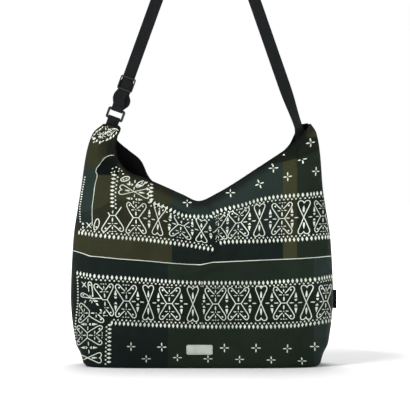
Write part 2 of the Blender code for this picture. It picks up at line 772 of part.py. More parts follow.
def main():
    for obj in list(bpy.data.objects):
        bpy.data.objects.remove(obj, do_unlink=True)
    parts = bpy.data.collections.new("shoulder_bag")
    cutters = bpy.data.collections.new("cutters")
    for collection in (parts, cutters):
        bpy.context.scene.collection.children.link(collection)

    print_cloth = material("printed_cloth", (0.015, 0.024, 0.017), 0.62)
    lining_cloth = material("black_lining", (0.006, 0.006, 0.007), 0.70)
    webbing = material("black_webbing", (0.008, 0.009, 0.010), 0.68)
    plastic = material("black_plastic", (0.012, 0.013, 0.014), 0.42)
    label_cloth = material("label_cloth", (0.48, 0.52, 0.48), 0.60)

    cloth_shell("front_panel", -1, 0.0, OUTER_THICKNESS, parts, print_cloth)
    cloth_shell("back_panel", 1, 0.0, OUTER_THICKNESS, parts, print_cloth)
    cloth_shell("front_lining", -1, LINING_OUTSIDE, LINING_THICKNESS, parts, lining_cloth)
    cloth_shell("back_lining", 1, LINING_OUTSIDE, LINING_THICKNESS, parts, lining_cloth)
    mouth_edging("front_edging", -1, 4, COLUMNS - 2, parts, lining_cloth)
    mouth_edging("back_edging", 1, 4, COLUMNS - 3, parts, lining_cloth)

    frame = strap_frame()
    pieces = [ring_tab(parts, webbing), strap_return(parts, webbing),
              strap_sewn_end(parts, webbing)]
    loop, window = rectangular_loop(parts, cutters, plastic)
    pieces += [loop, window]
    for piece in pieces:
        piece.matrix_world = frame
    slide, slots = slider(parts, cutters, plastic)
    seat = frame @ Matrix.Translation((0, STRAP_PLANE_Y, SLIDER_DISTANCE))
    for piece in [slide] + slots:
        piece.matrix_world = seat
    shoulder_strap(parts, webbing)

    patch_on_wall(
        "label", -1,
        (LABEL_X - LABEL_WIDTH / 2, LABEL_X + LABEL_WIDTH / 2),
        (LABEL_CENTRE_HEIGHT - LABEL_HEIGHT / 2, LABEL_CENTRE_HEIGHT + LABEL_HEIGHT / 2),
        (6, 3), CLEARANCE, LABEL_THICKNESS, parts, label_cloth,
    )
    side_tag(parts, lining_cloth)
    for obj in [*parts.objects, *cutters.objects]:
        obj.location.x += BAG_SHIFT


main()
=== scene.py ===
"""Looks of the printed cloth shoulder bag: fine cloth, print, webbing, camera and light."""

import math

import bmesh
import bpy
import numpy as np
from mathutils import Matrix, Vector


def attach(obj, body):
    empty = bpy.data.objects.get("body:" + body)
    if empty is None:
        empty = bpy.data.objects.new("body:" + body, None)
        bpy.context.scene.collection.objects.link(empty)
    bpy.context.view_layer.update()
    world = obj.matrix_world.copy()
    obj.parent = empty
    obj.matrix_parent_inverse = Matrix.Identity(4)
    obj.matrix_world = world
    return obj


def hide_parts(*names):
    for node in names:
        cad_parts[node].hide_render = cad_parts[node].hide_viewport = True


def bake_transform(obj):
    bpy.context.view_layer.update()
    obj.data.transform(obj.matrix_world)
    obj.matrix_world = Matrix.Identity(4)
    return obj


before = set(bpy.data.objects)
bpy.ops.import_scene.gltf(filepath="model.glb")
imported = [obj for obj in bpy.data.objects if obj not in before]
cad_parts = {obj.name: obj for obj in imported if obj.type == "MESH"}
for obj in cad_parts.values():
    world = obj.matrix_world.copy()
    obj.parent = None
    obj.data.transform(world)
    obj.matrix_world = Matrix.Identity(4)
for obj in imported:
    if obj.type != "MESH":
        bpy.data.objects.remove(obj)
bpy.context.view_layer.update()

# Sizes of the CAD part, metres
BELLY_WIDTH = 0.446
BELLY_HEIGHT = 0.115
BASE_WIDTH = 0.404
BASE_DEPTH = 0.122
BELLY_DEPTH = 0.136
SHOULDER_HEIGHT = 0.300
SHOULDER_WIDTH = 0.411
HORN_HEIGHT = 0.410
LOWER_EDGE_RADIUS = 0.010
LEFT_HORN_REACH = 0.1675
LEFT_HORN_WIDTH = 0.027
LEFT_HORN_DEPTH = 0.019
RIGHT_HORN_REACH = 0.185
RIGHT_HORN_WIDTH = 0.018
RIGHT_HORN_DEPTH = 0.054
MOUTH_LOW_HEIGHT = 0.282
MOUTH_LOW_X = -0.005
MOUTH_DEPTH = 0.086
BACK_MOUTH_DROP = 0.003
OUTER_THICKNESS = 0.0012
LINING_THICKNESS = 0.0008
EDGING_DIAMETER = 0.0030
CLEARANCE = 0.0003
STRAP_WIDTH = 0.0205
STRAP_THICKNESS = 0.0011
LEFT_LEAN = math.radians(20.0)
RIGHT_LEAN = math.radians(19.3)
APEX_RADIUS = 0.030
TAB_REACH = 0.0215
TAB_DEPTH_IN_HORN = 0.013
TAB_FLARE = 0.006
FRONT_RUN_START = 0.0075
QUARTER_TURN_LENGTH = 0.070
RIGHT_TURN = math.radians(-50.0)
RIGHT_TURN_LENGTH = 0.090
RIGHT_ENTRY_X = 0.163
RIGHT_ENTRY_Y = 0.0045
SEWN_DEPTH_IN_HORN = 0.022
STRAP_END_LENGTH = 0.026
STRAP_END_SHARE = 0.965
LOOP_BAR = 0.0040
LOOP_ARM = 0.0042
LOOP_WINDOW_HEIGHT = 0.0120
SLIDER_DISTANCE = 0.055
SLIDER_CENTRE_BAR = 0.0052
SLIDER_BAR_THICKNESS = 0.0020
SEWN_END_LENGTH = 0.013
LABEL_WIDTH = 0.0435
LABEL_HEIGHT = 0.0168
LABEL_X = -0.0040
LABEL_CENTRE_HEIGHT = 0.0318
LABEL_THICKNESS = 0.0006
LABEL_CORNER = 0.0026
TAG_WIDTH = 0.0060
TAG_HEIGHT = 0.0320
TAG_CENTRE_HEIGHT = 0.112
TAG_THICKNESS = 0.0012
CAD_COLUMNS = 33

LINING_OUTSIDE = OUTER_THICKNESS + CLEARANCE
CLOTH_TOTAL = LINING_OUTSIDE + LINING_THICKNESS
STRAP_PLANE_Y = -(STRAP_THICKNESS / 2 + CLEARANCE + LOOP_BAR / 2)
LOWER_BAR_Z = -(LOOP_WINDOW_HEIGHT + LOOP_BAR) / 2
UPPER_BAR_Z = -LOWER_BAR_Z
LOOP_ROUNDING = min(LOOP_BAR, LOOP_ARM) * 0.30
WRAP_RADIUS = LOOP_BAR * 0.665 + CLEARANCE + STRAP_THICKNESS / 2
BAG_SHIFT = -(CLEARANCE + TAG_WIDTH) / 2

# Photo view. The back is laid out with PIXEL metres a pixel and the ground at BASE_ROW.
IMAGE = 410
PIXEL = 0.0017
BASE_ROW = 366
LENS = 206.6
SENSOR = 36.0
FOCUS = IMAGE * LENS / SENSOR
DISTANCE = 4.0
ELEVATION = math.radians(2.5)
AIM = np.array([0.002, 0.0, 0.2721])
EYE = AIM + DISTANCE * np.array([0, -math.cos(ELEVATION), math.sin(ELEVATION)])
RIGHT = np.array([1.0, 0, 0])
UP = np.array([0, math.sin(ELEVATION), math.cos(ELEVATION)])
AHEAD = np.array([0, math.cos(ELEVATION), -math.sin(ELEVATION)])

# Fineness
CLOTH_COLUMNS = 210
WALL_ROWS = 120
LINING_COLUMNS = 130
LINING_ROWS = 80
MOUTH_COLUMNS = 330
EDGING_COLUMNS = 264
MERGE_DISTANCE = 1e-7


def between(low, high, share):
    return low + (high - low) * share


def smoothstep(t):
    t = np.clip(t, 0.0, 1.0)
    return t * t * (3 - 2 * t)


def along(points, value):
    """Smooth curve through (x, y) points that doesn't overshoot them."""
    xs, ys = np.array(points, float).T
    value = np.clip(np.asarray(value, float), xs[0], xs[-1])
    i = np.clip(np.searchsorted(xs, value, side="right") - 1, 0, len(xs) - 2)
    rises = np.diff(ys) / np.diff(xs)
    slopes = np.empty(len(xs))
    slopes[0], slopes[-1] = rises[0], rises[-1]
    for k in range(1, len(xs) - 1):
        before, after = rises[k - 1], rises[k]
        slopes[k] = 0.0 if before * after <= 0 else 2 * before * after / (before + after)
    step = xs[i + 1] - xs[i]
    t = (value - xs[i]) / step
    return (
        (2 * t**3 - 3 * t**2 + 1) * ys[i] + (t**3 - 2 * t**2 + t) * step * slopes[i]
        + (3 * t**2 - 2 * t**3) * ys[i + 1] + (t**3 - t**2) * step * slopes[i + 1]
    )


def level(line, value):
    """Height of a line of (x, y) points at each place along it."""
    return np.interp(value, *np.array(line).T)


def unit(vectors):
    return vectors / np.maximum(np.linalg.norm(vectors, axis=1), 1e-9)[:, None]


def travelled(line):
    """Length along a line up to each of its points."""
    return np.concatenate([[0], np.cumsum(np.linalg.norm(np.diff(line, axis=0), axis=1))])


def dense_line(points, step):
    """The line with each stretch cut into pieces no longer than step."""
    points = np.array(points, float)
    made = [points[0]]
    for start, end in zip(points, points[1:]):
        pieces = max(1, math.ceil(np.linalg.norm(end - start) / step))
        made += [between(start, end, (k + 1) / pieces) for k in range(pieces)]
    return np.array(made)


def mitres(normals, closed=False):
    """Offset direction at each point of a line with these normals between its points."""
    first = np.concatenate([normals[-1:] if closed else normals[:1], normals])
    second = np.concatenate([normals, normals[:1] if closed else normals[-1:]])
    return (first + second) / np.maximum(1 + (first * second).sum(axis=1), 0.35)[:, None]


# Height over the ground and distance out from the base's end, where the corners are drawn in
LOWER_CORNER = [(0.0, -0.0015), (0.010, 0.0008), (0.022, 0.0046)]


def side_profile(horn_reach):
    """(height, distance from the middle plane) of a side seam, base to horn tip."""
    shoulder, belly, base = SHOULDER_WIDTH / 2, BELLY_WIDTH / 2, BASE_WIDTH / 2
    return [(z, base + out) for z, out in LOWER_CORNER] + [
        (BELLY_HEIGHT * 0.35, between(base, belly, 0.62)),
        (BELLY_HEIGHT, belly),
        (between(BELLY_HEIGHT, SHOULDER_HEIGHT, 0.5), between(belly, shoulder, 0.22)),
        (SHOULDER_HEIGHT, shoulder),
        (between(SHOULDER_HEIGHT, HORN_HEIGHT, 0.55), between(shoulder, horn_reach, 0.24)),
        (between(SHOULDER_HEIGHT, HORN_HEIGHT, 0.86), between(shoulder, horn_reach, 0.54)),
        (HORN_HEIGHT, horn_reach),
    ]


LEFT_SIDE = side_profile(LEFT_HORN_REACH)
RIGHT_SIDE = side_profile(RIGHT_HORN_REACH)
LEFT_DEPTH = [
    (0.0, BASE_DEPTH / 2),
    (BELLY_HEIGHT, BELLY_DEPTH / 2),
    (MOUTH_LOW_HEIGHT, MOUTH_DEPTH / 2),
    (between(MOUTH_LOW_HEIGHT, HORN_HEIGHT, 0.55), between(MOUTH_DEPTH, LEFT_HORN_DEPTH, 0.45) / 2),
    (HORN_HEIGHT, LEFT_HORN_DEPTH / 2),
]
RIGHT_DEPTH = LEFT_DEPTH[:3] + [(HORN_HEIGHT, RIGHT_HORN_DEPTH / 2)]
SQUARENESS = [(0.0, 4.2), (BELLY_HEIGHT, 3.3), (MOUTH_LOW_HEIGHT, 2.7), (HORN_HEIGHT, 2.3)]


def across(x, z, inset=0.0):
    left, right = -along(LEFT_SIDE, z), along(RIGHT_SIDE, z)
    return (x - left - inset) / (right - left - 2 * inset)


def wall(side, share, z, inset, height=None):
    """Points (n, 3) on a wall of the bag."""
    share, z, inset = np.broadcast_arrays(np.asarray(share, float), z, inset)
    share = np.clip(share, 0, 1)
    left, right = -along(LEFT_SIDE, z), along(RIGHT_SIDE, z)
    power = along(SQUARENESS, z)
    bulge = np.maximum(0.0, 1 - np.abs(2 * share - 1) ** power) ** (1 / power)
    depth = between(along(LEFT_DEPTH, z), along(RIGHT_DEPTH, z), share)
    return np.stack([
        between(left + inset, right - inset, share),
        side * (CLEARANCE / 2 + (depth - CLEARANCE / 2 - inset) * bulge),
        z if height is None else height,
    ], axis=-1)


def skin(side, share, z, inset):
    """The wall with its rounded lower edge."""
    radius = LOWER_EDGE_RADIUS
    angle = np.arccos(np.clip((radius - z) / radius, 0, 1))
    low = np.asarray(z) < radius
    drawn_in = np.where(low, radius - (radius - inset) * np.sin(angle), inset)
    height = np.where(low, radius - (radius - inset) * np.cos(angle), z)
    return wall(side, share, np.maximum(z, radius), drawn_in, height)


LEFT_TIP = (-LEFT_HORN_REACH + LEFT_HORN_WIDTH, HORN_HEIGHT - 0.008)
RIGHT_TIP = (RIGHT_HORN_REACH - RIGHT_HORN_WIDTH, HORN_HEIGHT - 0.002)


def stretch(start, end, shares):
    """Points from start to end, each at its own share of the way along x and along z."""
    return [(between(start[0], end[0], a), between(start[1], end[1], u)) for a, u in shares]


def mouth_points(side):
    """(x, z) control points of the mouth edge, from the left horn to the right one."""
    left_top, right_top = (-LEFT_HORN_REACH, HORN_HEIGHT), (RIGHT_HORN_REACH, HORN_HEIGHT)
    neck = (LEFT_TIP[0] - 0.008, LEFT_TIP[1] - 0.034)
    over_left = stretch(
        left_top, LEFT_TIP, [(0.0, 0.0), (0.07, 0.0), (0.30, 0.15), (0.62, 0.5), (1.0, 1.0)]
    )
    if side < 0:
        low = (MOUTH_LOW_X, MOUTH_LOW_HEIGHT)
        over_left += [(LEFT_TIP[0] - 0.006, LEFT_TIP[1] - 0.015), neck]
        to_left = [(0.972, 0.795), (0.90, 0.62), (0.80, 0.50), (0.61, 0.40), (0.40, 0.265),
                   (0.20, 0.125)]
        to_right = [(0.17, 0.12), (0.34, 0.275), (0.51, 0.44), (0.68, 0.60), (0.835, 0.735),
                    (0.92, 0.83), (0.975, 0.945)]
        curve = stretch(low, neck, to_left) + [low] + stretch(low, right_top, to_right)
        return over_left + curve + [right_top]
    low = (MOUTH_LOW_X, MOUTH_LOW_HEIGHT - BACK_MOUTH_DROP)
    over_left += [(neck[0] + 0.002, neck[1] + 0.014)]
    to_left = [(0.86, 0.87), (0.71, 0.66), (0.60, 0.45), (0.40, 0.24), (0.20, 0.11)]
    to_right = [(0.20, 0.13), (0.40, 0.30), (0.60, 0.475), (0.77, 0.62), (0.90, 0.74),
                (0.955, 0.87)]
    curve = stretch(low, (neck[0], neck[1] + 0.008), to_left) + [low]
    curve += stretch(low, RIGHT_TIP, to_right)
    return over_left + curve + stretch(
        RIGHT_TIP, right_top, [(a, a) for a in (0.0, 0.28, 0.56, 0.80, 0.94, 1.0)]
    )


# How far the mouth edge lies above its plain curve, by x
FRONT_SETTLE = [(-0.145, 0.0), (-0.128, 0.0), (-0.10, -0.0012), (-0.08, 0.0), (-0.06, -0.0020),
                (-0.005, -0.0030), (0.05, -0.0055), (0.13, -0.0055), (0.155, -0.002),
                (0.185, 0.0)]
BACK_SETTLE = [(-0.168, 0.0), (-0.125, 0.0015), (-0.117, 0.0035), (-0.107, 0.0030),
               (-0.096, -0.0040), (-0.084, -0.011), (0.12, -0.010), (0.15, -0.003), (0.185, 0.0)]


def settled_mouth(side):
    settle = FRONT_SETTLE if side < 0 else BACK_SETTLE
    return [(x, z + float(along(settle, x))) for x, z in mouth_points(side)]


def curve_through(points, count):
    """count + 1 points of a smooth curve, evenly along the control points' own numbering."""
    ends = np.array([points[0]] + list(points) + [points[-1]], float)
    place = np.linspace(0, len(points) - 1, count + 1)
    i = np.minimum(place.astype(int), len(points) - 2)
    t = (place - i)[:, None]
    p = [ends[i + n] for n in range(4)]
    return 0.5 * (
        2 * p[1] + (p[2] - p[0]) * t + (2 * p[0] - 5 * p[1] + 4 * p[2] - p[3]) * t**2
        + (3 * p[1] - p[0] - 3 * p[2] + p[3]) * t**3
    )


MOUTH = {side: curve_through(settled_mouth(side), MOUTH_COLUMNS) for side in (-1, 1)}


# Places in the photo. The back wall is seen from behind, with the same pixel scale.


def to_photo(points, side):
    """Pixel places (n,), (n,) of world points less the bag's shift."""
    if side > 0:
        return IMAGE / 2 - points[..., 0] / PIXEL, BASE_ROW - points[..., 2] / PIXEL
    away = points + np.array([BAG_SHIFT, 0, 0]) - EYE
    depth = away @ AHEAD
    return IMAGE / 2 + FOCUS * (away @ RIGHT) / depth, IMAGE / 2 - FOCUS * (away @ UP) / depth


def on_wall(px, py, side):
    """Share across and height on the wall under each photo place."""
    px, py = np.asarray(px, float), np.asarray(py, float)
    if side > 0:
        z = (BASE_ROW - py) * PIXEL
        return across((IMAGE / 2 - px) * PIXEL, z), z
    ray = AHEAD + RIGHT * ((px - IMAGE / 2) / FOCUS)[..., None]
    ray = ray + UP * ((IMAGE / 2 - py) / FOCUS)[..., None]
    y = np.full(px.shape, -0.05)
    for _ in range(24):
        place = EYE + ray * ((y - EYE[1]) / ray[..., 1])[..., None]
        x, z = place[..., 0] - BAG_SHIFT, place[..., 2]
        share = across(x, np.maximum(z, 0))
        y = 0.5 * (y + skin(side, share, np.maximum(z, 0.0), 0.0)[..., 1])
    return share, z


def inside_cloth(x, z, side, margin=0.0024):
    """Whether (x, z) lies on the wall, at least margin below the mouth edge."""
    mouth = MOUTH[side]
    heights = np.linspace(HORN_HEIGHT, -0.001, 60)[1:]
    right = np.stack([along(RIGHT_SIDE, heights), heights], axis=1)
    left = np.stack([-along(LEFT_SIDE, heights), heights], axis=1)[::-1]
    ring = np.concatenate([mouth, right, left])
    z = z + margin
    crossings = np.zeros(x.shape, int)
    for (x0, z0), (x1, z1) in zip(ring, np.roll(ring, -1, axis=0)):
        if z0 == z1:
            continue
        spans = (z0 > z) != (z1 > z)
        crossings += spans & (x < x0 + (z - z0) / (z1 - z0) * (x1 - x0))
    return crossings % 2 == 1


def distance_to(px, py, line):
    """Distance of each photo place to a polyline, all in pixels."""
    best = np.full(np.shape(px), 1e9)
    for (x0, y0), (x1, y1) in zip(line, line[1:]):
        dx, dy = x1 - x0, y1 - y0
        t = np.clip(((px - x0) * dx + (py - y0) * dy) / max(dx * dx + dy * dy, 1e-9), 0, 1)
        best = np.minimum(best, np.hypot(px - x0 - t * dx, py - y0 - t * dy))
    return best


def soft_noise(u, v, cell, seed):
    """Smooth noise from -1 to 1 with bumps about one cell across."""
    table = np.random.default_rng(seed).uniform(-1, 1, (64, 64))
    u, v = u / cell, v / cell
    i, j = np.floor(u).astype(int), np.floor(v).astype(int)
    near, far = (
        between(table[i % 64, (j + b) % 64], table[(i + 1) % 64, (j + b) % 64], smoothstep(u - i))
        for b in (0, 1)
    )
    return between(near, far, smoothstep(v - j))


# Lines of the photo, in pixels

WHITE_LINE = [(66, 249), (71, 250), (93, 256), (120, 259), (160, 262), (187, 264.2), (200, 264.5),
              (213, 262), (250, 260.6), (300, 258.5), (331, 256), (340, 255.2)]
FOLD_LINE = [(115, 155), (111.5, 155.2), (107.5, 156.2), (104.5, 157.8), (102.2, 160),
             (99.4, 164.5),
             (96.8, 169), (96.2, 171.6), (97.8, 174.6), (97.4, 178), (95.6, 183.5), (94.1, 190),
             (93.0, 197), (92.5, 205), (92.3, 213), (92.4, 226)]
HEM_FOLD = [(258, 168), (272, 164), (283, 161.8), (291, 160), (300, 157.4), (308, 154.4),
            (317, 150)]
UPPER_CENTRE = [(76, 223.5), (89, 224), (112, 219), (136, 217.6), (159.4, 219.6), (181.2, 225),
                (201.5, 231), (214, 232.5), (218, 227.5), (238.5, 222.8), (259.5, 220.2),
                (282.4, 218.5), (304, 217.2), (323, 216), (340, 215)]
UPPER_TOP = [(150.5, 200), (153.3, 202.6), (163, 206), (172, 210.6), (181.2, 215.2), (188.5, 216.4),
             (210.6, 216.6), (213, 213.3), (220.3, 210.3), (226.4, 208.5), (242, 204.8),
             (257.9, 200), (274.8, 197), (299, 195.2), (324.5, 192.9), (338, 191.8)]
UPPER_BOTTOM_LEFT = [(78, 232.4), (84.2, 233.3), (112, 237), (144.8, 239.6), (174, 243),
                     (193.3, 246), (203, 247.9), (213.5, 249.4)]
UPPER_BOTTOM_RIGHT = [(218.6, 243.2), (226.4, 241.8), (262.7, 241.2), (299, 239.4), (329.4, 236.7),
                      (340, 236)]
UPPER_REACH = [(70, 8.0), (100, 12), (112, 16.5), (136, 16.5), (159.4, 15.2), (181, 13.6),
               (201, 11.2), (214, 11.0), (219, 13.6), (238.5, 14.6), (259.5, 16), (282, 16.8),
               (304, 16.6), (323, 16.4), (340, 16.2)]
LOWER_CENTRE = [(66, 297.5), (84, 298.2), (104, 299.8), (125.5, 301.2), (147.9, 302.7),
                (170, 303.4), (193, 304.2), (215.5, 304), (238.5, 303.7), (261, 303.2),
                (283.3, 303), (305, 302.2), (323.3, 301.2), (340, 300)]
LOWER_TOP = [(76.5, 272.6), (84, 274.2), (100, 276.5), (144.8, 279.8), (190, 282.7), (209, 282.9),
             (262.7, 282.8), (290, 281), (311, 279.4), (332, 276.4), (340, 275)]
LOWER_BOTTOM = [(109.5, 322.6), (112, 323), (144.8, 324.8), (190, 326.2), (209, 326.6),
                (262.7, 326.8), (299, 325.5), (317, 323), (332, 320), (340, 318.5)]
LOWER_REACH = [(60, 17.2), (340, 17.2)]
LOWER_FIELD_REACH = 20.0
MOTIF_REACH = 17.3

# Folds of the cloth: line in pixels, half width in pixels, height in millimetres
FRONT_FOLDS = [
    ([(93, 134), (86, 150), (83, 165), (82, 192)], 2.6, 1.6),
    ([(101, 143), (93, 160), (89, 178), (88, 205)], 3.2, 1.3),
    ([(110, 143), (106, 152), (99, 162)], 2.6, -1.2),
    ([(206, 207), (213, 219), (217.5, 232), (214.5, 247), (203, 263)], 3.2, 1.7),
    ([(211, 205), (219, 219), (222, 236), (219, 250)], 2.6, -0.8),
    ([(176, 208), (190, 228), (200, 248)], 6.0, -2.2),
    ([(226, 214), (262, 182), (290, 163)], 9.0, 2.6),
    ([(262, 168), (283, 164), (300, 160.5), (316, 154)], 3.4, 1.6),
    ([(262, 162), (283, 157), (300, 152), (314, 147)], 3.4, -1.2),
    ([(98, 145), (93, 156), (89.5, 168), (88, 182)], 1.5, 1.3),
    ([(150, 268), (186, 272), (214, 266), (240, 262)], 5.0, 1.9),
    ([(168, 256), (200, 258), (236, 254)], 4.0, -1.5),
    ([(233, 250), (218, 262), (196, 272)], 5.0, 2.0),
    ([(150, 196), (165, 228), (172, 262), (170, 300)], 9.0, 1.6),
    ([(300, 165), (309, 200), (314, 250), (316, 300)], 7.0, 1.8),
    ([(118, 168), (124, 195), (120, 232)], 5.5, -1.6),
    ([(96, 232), (92, 262), (94, 300), (90, 335)], 6.0, 1.4),
    ([(240, 330), (246, 352)], 6.0, -1.0),
    ([(130, 330), (124, 356)], 6.0, -1.2),
    ([(308, 330), (302, 356)], 6.0, -1.2),
    ([(309, 133), (300, 150), (296, 166)], 3.0, -1.4),
]
BACK_FOLDS = [
    ([(120, 214), (140, 196), (150, 185)], 9.0, 2.6),
    ([(205, 207), (203, 232), (210, 255)], 4.0, 2.4),
    ([(95, 165), (92, 210), (90, 300)], 7.0, 1.8),
    ([(318, 165), (322, 210), (318, 300)], 7.0, 1.6),
    ([(240, 200), (255, 240), (250, 300)], 9.0, 1.6),
    ([(170, 260), (165, 310)], 9.0, -1.5),
]


def mouth_line(side):
    """The mouth edge in photo places."""
    edge = wall(side, across(*MOUTH[side].T), MOUTH[side][:, 1], 0.0)
    px, py = to_photo(edge, side)
    return list(zip(px[::3], py[::3]))


MOUTH_LINE = {side: mouth_line(side) for side in (-1, 1)}
# The gathers fan out from this place, in pixels
GATHER_X, GATHER_Y = 116, 117
FOLD_SCALE = 1.9
# Millimetres, pixels across and seed of the cloth's uneven bulges
BULGES = [(3.0, 34, 3), (1.1, 15, 8)]
HEM_HEIGHT, HEM_WIDTH = 0.45, 5.2


def fold_height(px, py, share, z, side):
    """How far the cloth stands out from the plain wall, metres."""
    height = np.zeros(np.shape(px))
    for line, width, size in FRONT_FOLDS if side < 0 else BACK_FOLDS:
        height += size * np.exp(-(distance_to(px, py, line) / width) ** 2)
    sideways = px - (GATHER_X if side < 0 else IMAGE - GATHER_X)
    angle = np.arctan2(sideways, py - GATHER_Y)
    reach = np.hypot(sideways, py - GATHER_Y)
    gathers = 0.55 * np.sin(36 * angle) + 0.35 * np.sin(61 * angle + 1)
    near_horn = smoothstep((reach - 6) / 8) * (1 - smoothstep((reach - 26) / 26)) * (py < 200)
    height = FOLD_SCALE * (height + gathers * near_horn)
    for size, breadth, seed in BULGES:
        height += size * soft_noise(px, py, breadth, seed + side)
    hem = distance_to(px, py, MOUTH_LINE[side])
    height += HEM_HEIGHT * (1 - smoothstep((hem - HEM_WIDTH) / 1.2))
    fade = smoothstep(np.minimum(share, 1 - share) / 0.035) * smoothstep((z - 0.004) / 0.030)
    return height * fade * (0.25 + 0.75 * smoothstep(hem / 7)) / 1000


# Meshes


def make_object(name, points, faces, finish, smooth=True, attributes=(), merge=False):
    points = np.asarray(points, float).reshape(-1, 3) + np.array([BAG_SHIFT, 0, 0])
    mesh = bpy.data.meshes.new(name)
    mesh.from_pydata(points.tolist(), [], [list(map(int, f)) for f in faces])
    for label, values in attributes:
        kind, key = ("FLOAT_VECTOR", "vector") if np.ndim(values) == 2 else ("FLOAT", "value")
        made = mesh.attributes.new(label, kind, "POINT")
        made.data.foreach_set(key, np.ascontiguousarray(values, np.float32).ravel())
    bm = bmesh.new()
    bm.from_mesh(mesh)
    if merge:
        bmesh.ops.remove_doubles(bm, verts=bm.verts, dist=MERGE_DISTANCE)
    bmesh.ops.recalc_face_normals(bm, faces=bm.faces)
    bm.to_mesh(mesh)
    bm.free()
    mesh.materials.append(finish)
    mesh.polygons.foreach_set("use_smooth", [smooth] * len(mesh.polygons))
    obj = bpy.data.objects.new(name, mesh)
    bpy.context.scene.collection.objects.link(obj)
    return obj


def quads(a, b, c, d):
    return np.stack([a, b, c, d], axis=-1).reshape(-1, 4).tolist()


def lofted(name, rings, finish, **settings):
    """A closed bar through rings of points (rows, around, 3)."""
    index = np.arange(rings[..., 0].size).reshape(rings.shape[:2])
    beside = np.roll(index, -1, axis=1)
    faces = quads(index[:-1], beside[:-1], beside[1:], index[1:])
    faces += [index[0].tolist(), index[-1][::-1].tolist()]
    return make_object(name, rings, faces, finish, **settings)


def grid_shell(outer, inner):
    """Points and faces of a closed shell between two grids (columns, rows, 3)."""
    index = np.arange(outer[..., 0].size).reshape(outer.shape[:2])
    below = index + index.size
    faces = []
    for grid in (index, below):
        faces += quads(grid[:-1, :-1], grid[1:, :-1], grid[1:, 1:], grid[:-1, 1:])
    for j in (0, -1):
        faces += quads(index[:-1, j], index[1:, j], below[1:, j], below[:-1, j])
        faces += quads(index[j, :-1], index[j, 1:], below[j, 1:], below[j, :-1])
    return np.concatenate([outer.reshape(-1, 3), inner.reshape(-1, 3)]), faces


def cloth_skins(side, columns, rows, insets):
    """A grid of points for each inset: base, rounded lower edge, then wall up to the mouth."""
    top = curve_through(settled_mouth(side), columns)
    share_top = across(*top.T)
    share_top[0], share_top[-1] = 0.0, 1.0
    share_low = 0.5 * (1 - np.cos(np.pi * np.linspace(0, 1, columns + 1)))
    up = np.linspace(0, 1, rows) ** 0.92
    share = between(share_low[:, None], share_top[:, None], up[None] ** 1.6)
    z = between(LOWER_EDGE_RADIUS, top[:, 1:], up[None])
    edge_z = LOWER_EDGE_RADIUS * (1 - np.cos(np.linspace(0, math.pi / 2, 9)[:-1]))
    share = np.concatenate([np.repeat(share[:, :1], len(edge_z), axis=1), share], axis=1)
    z = np.concatenate([np.repeat(edge_z[None], columns + 1, axis=0), z], axis=1)
    out = fold_height(*to_photo(skin(side, share, z, 0.0), side), share, z, side)
    skins = []
    for inset in insets:
        points = skin(side, share, z, inset - out)
        seam = points[:, :1].copy()
        seam[..., 1] = side * CLEARANCE / 2
        base = between(seam, points[:, :1], np.linspace(0, 1, 12)[None, :-1, None])
        skins.append(np.concatenate([base, points], axis=1))
    return skins


def cloth_attributes(points, side):
    """Photo place and distances that the cloth's colours are laid out by."""
    px, py = to_photo(points, side)
    upper = np.abs(py - level(UPPER_CENTRE, px)) - level(UPPER_REACH, px)
    lower = np.abs(py - level(LOWER_CENTRE, px)) - LOWER_FIELD_REACH
    fold = px - np.interp(py, *np.array(FOLD_LINE).T[::-1])
    if side < 0:
        fold = np.where(px > HEM_FOLD[0][0], py - level(HEM_FOLD, px), fold)
    hem = distance_to(px, py, MOUTH_LINE[side])
    return [
        ("place", np.stack([px, py, py - level(WHITE_LINE, px)], axis=-1)),
        ("bands", np.stack([upper, lower, hem], axis=-1)),
        ("fold", fold),
    ]


# Materials


def srgb(*values):
    values = np.array(values, float) / 255
    return tuple(np.where(values <= 0.04045, values / 12.92, ((values + 0.055) / 1.055) ** 2.4))


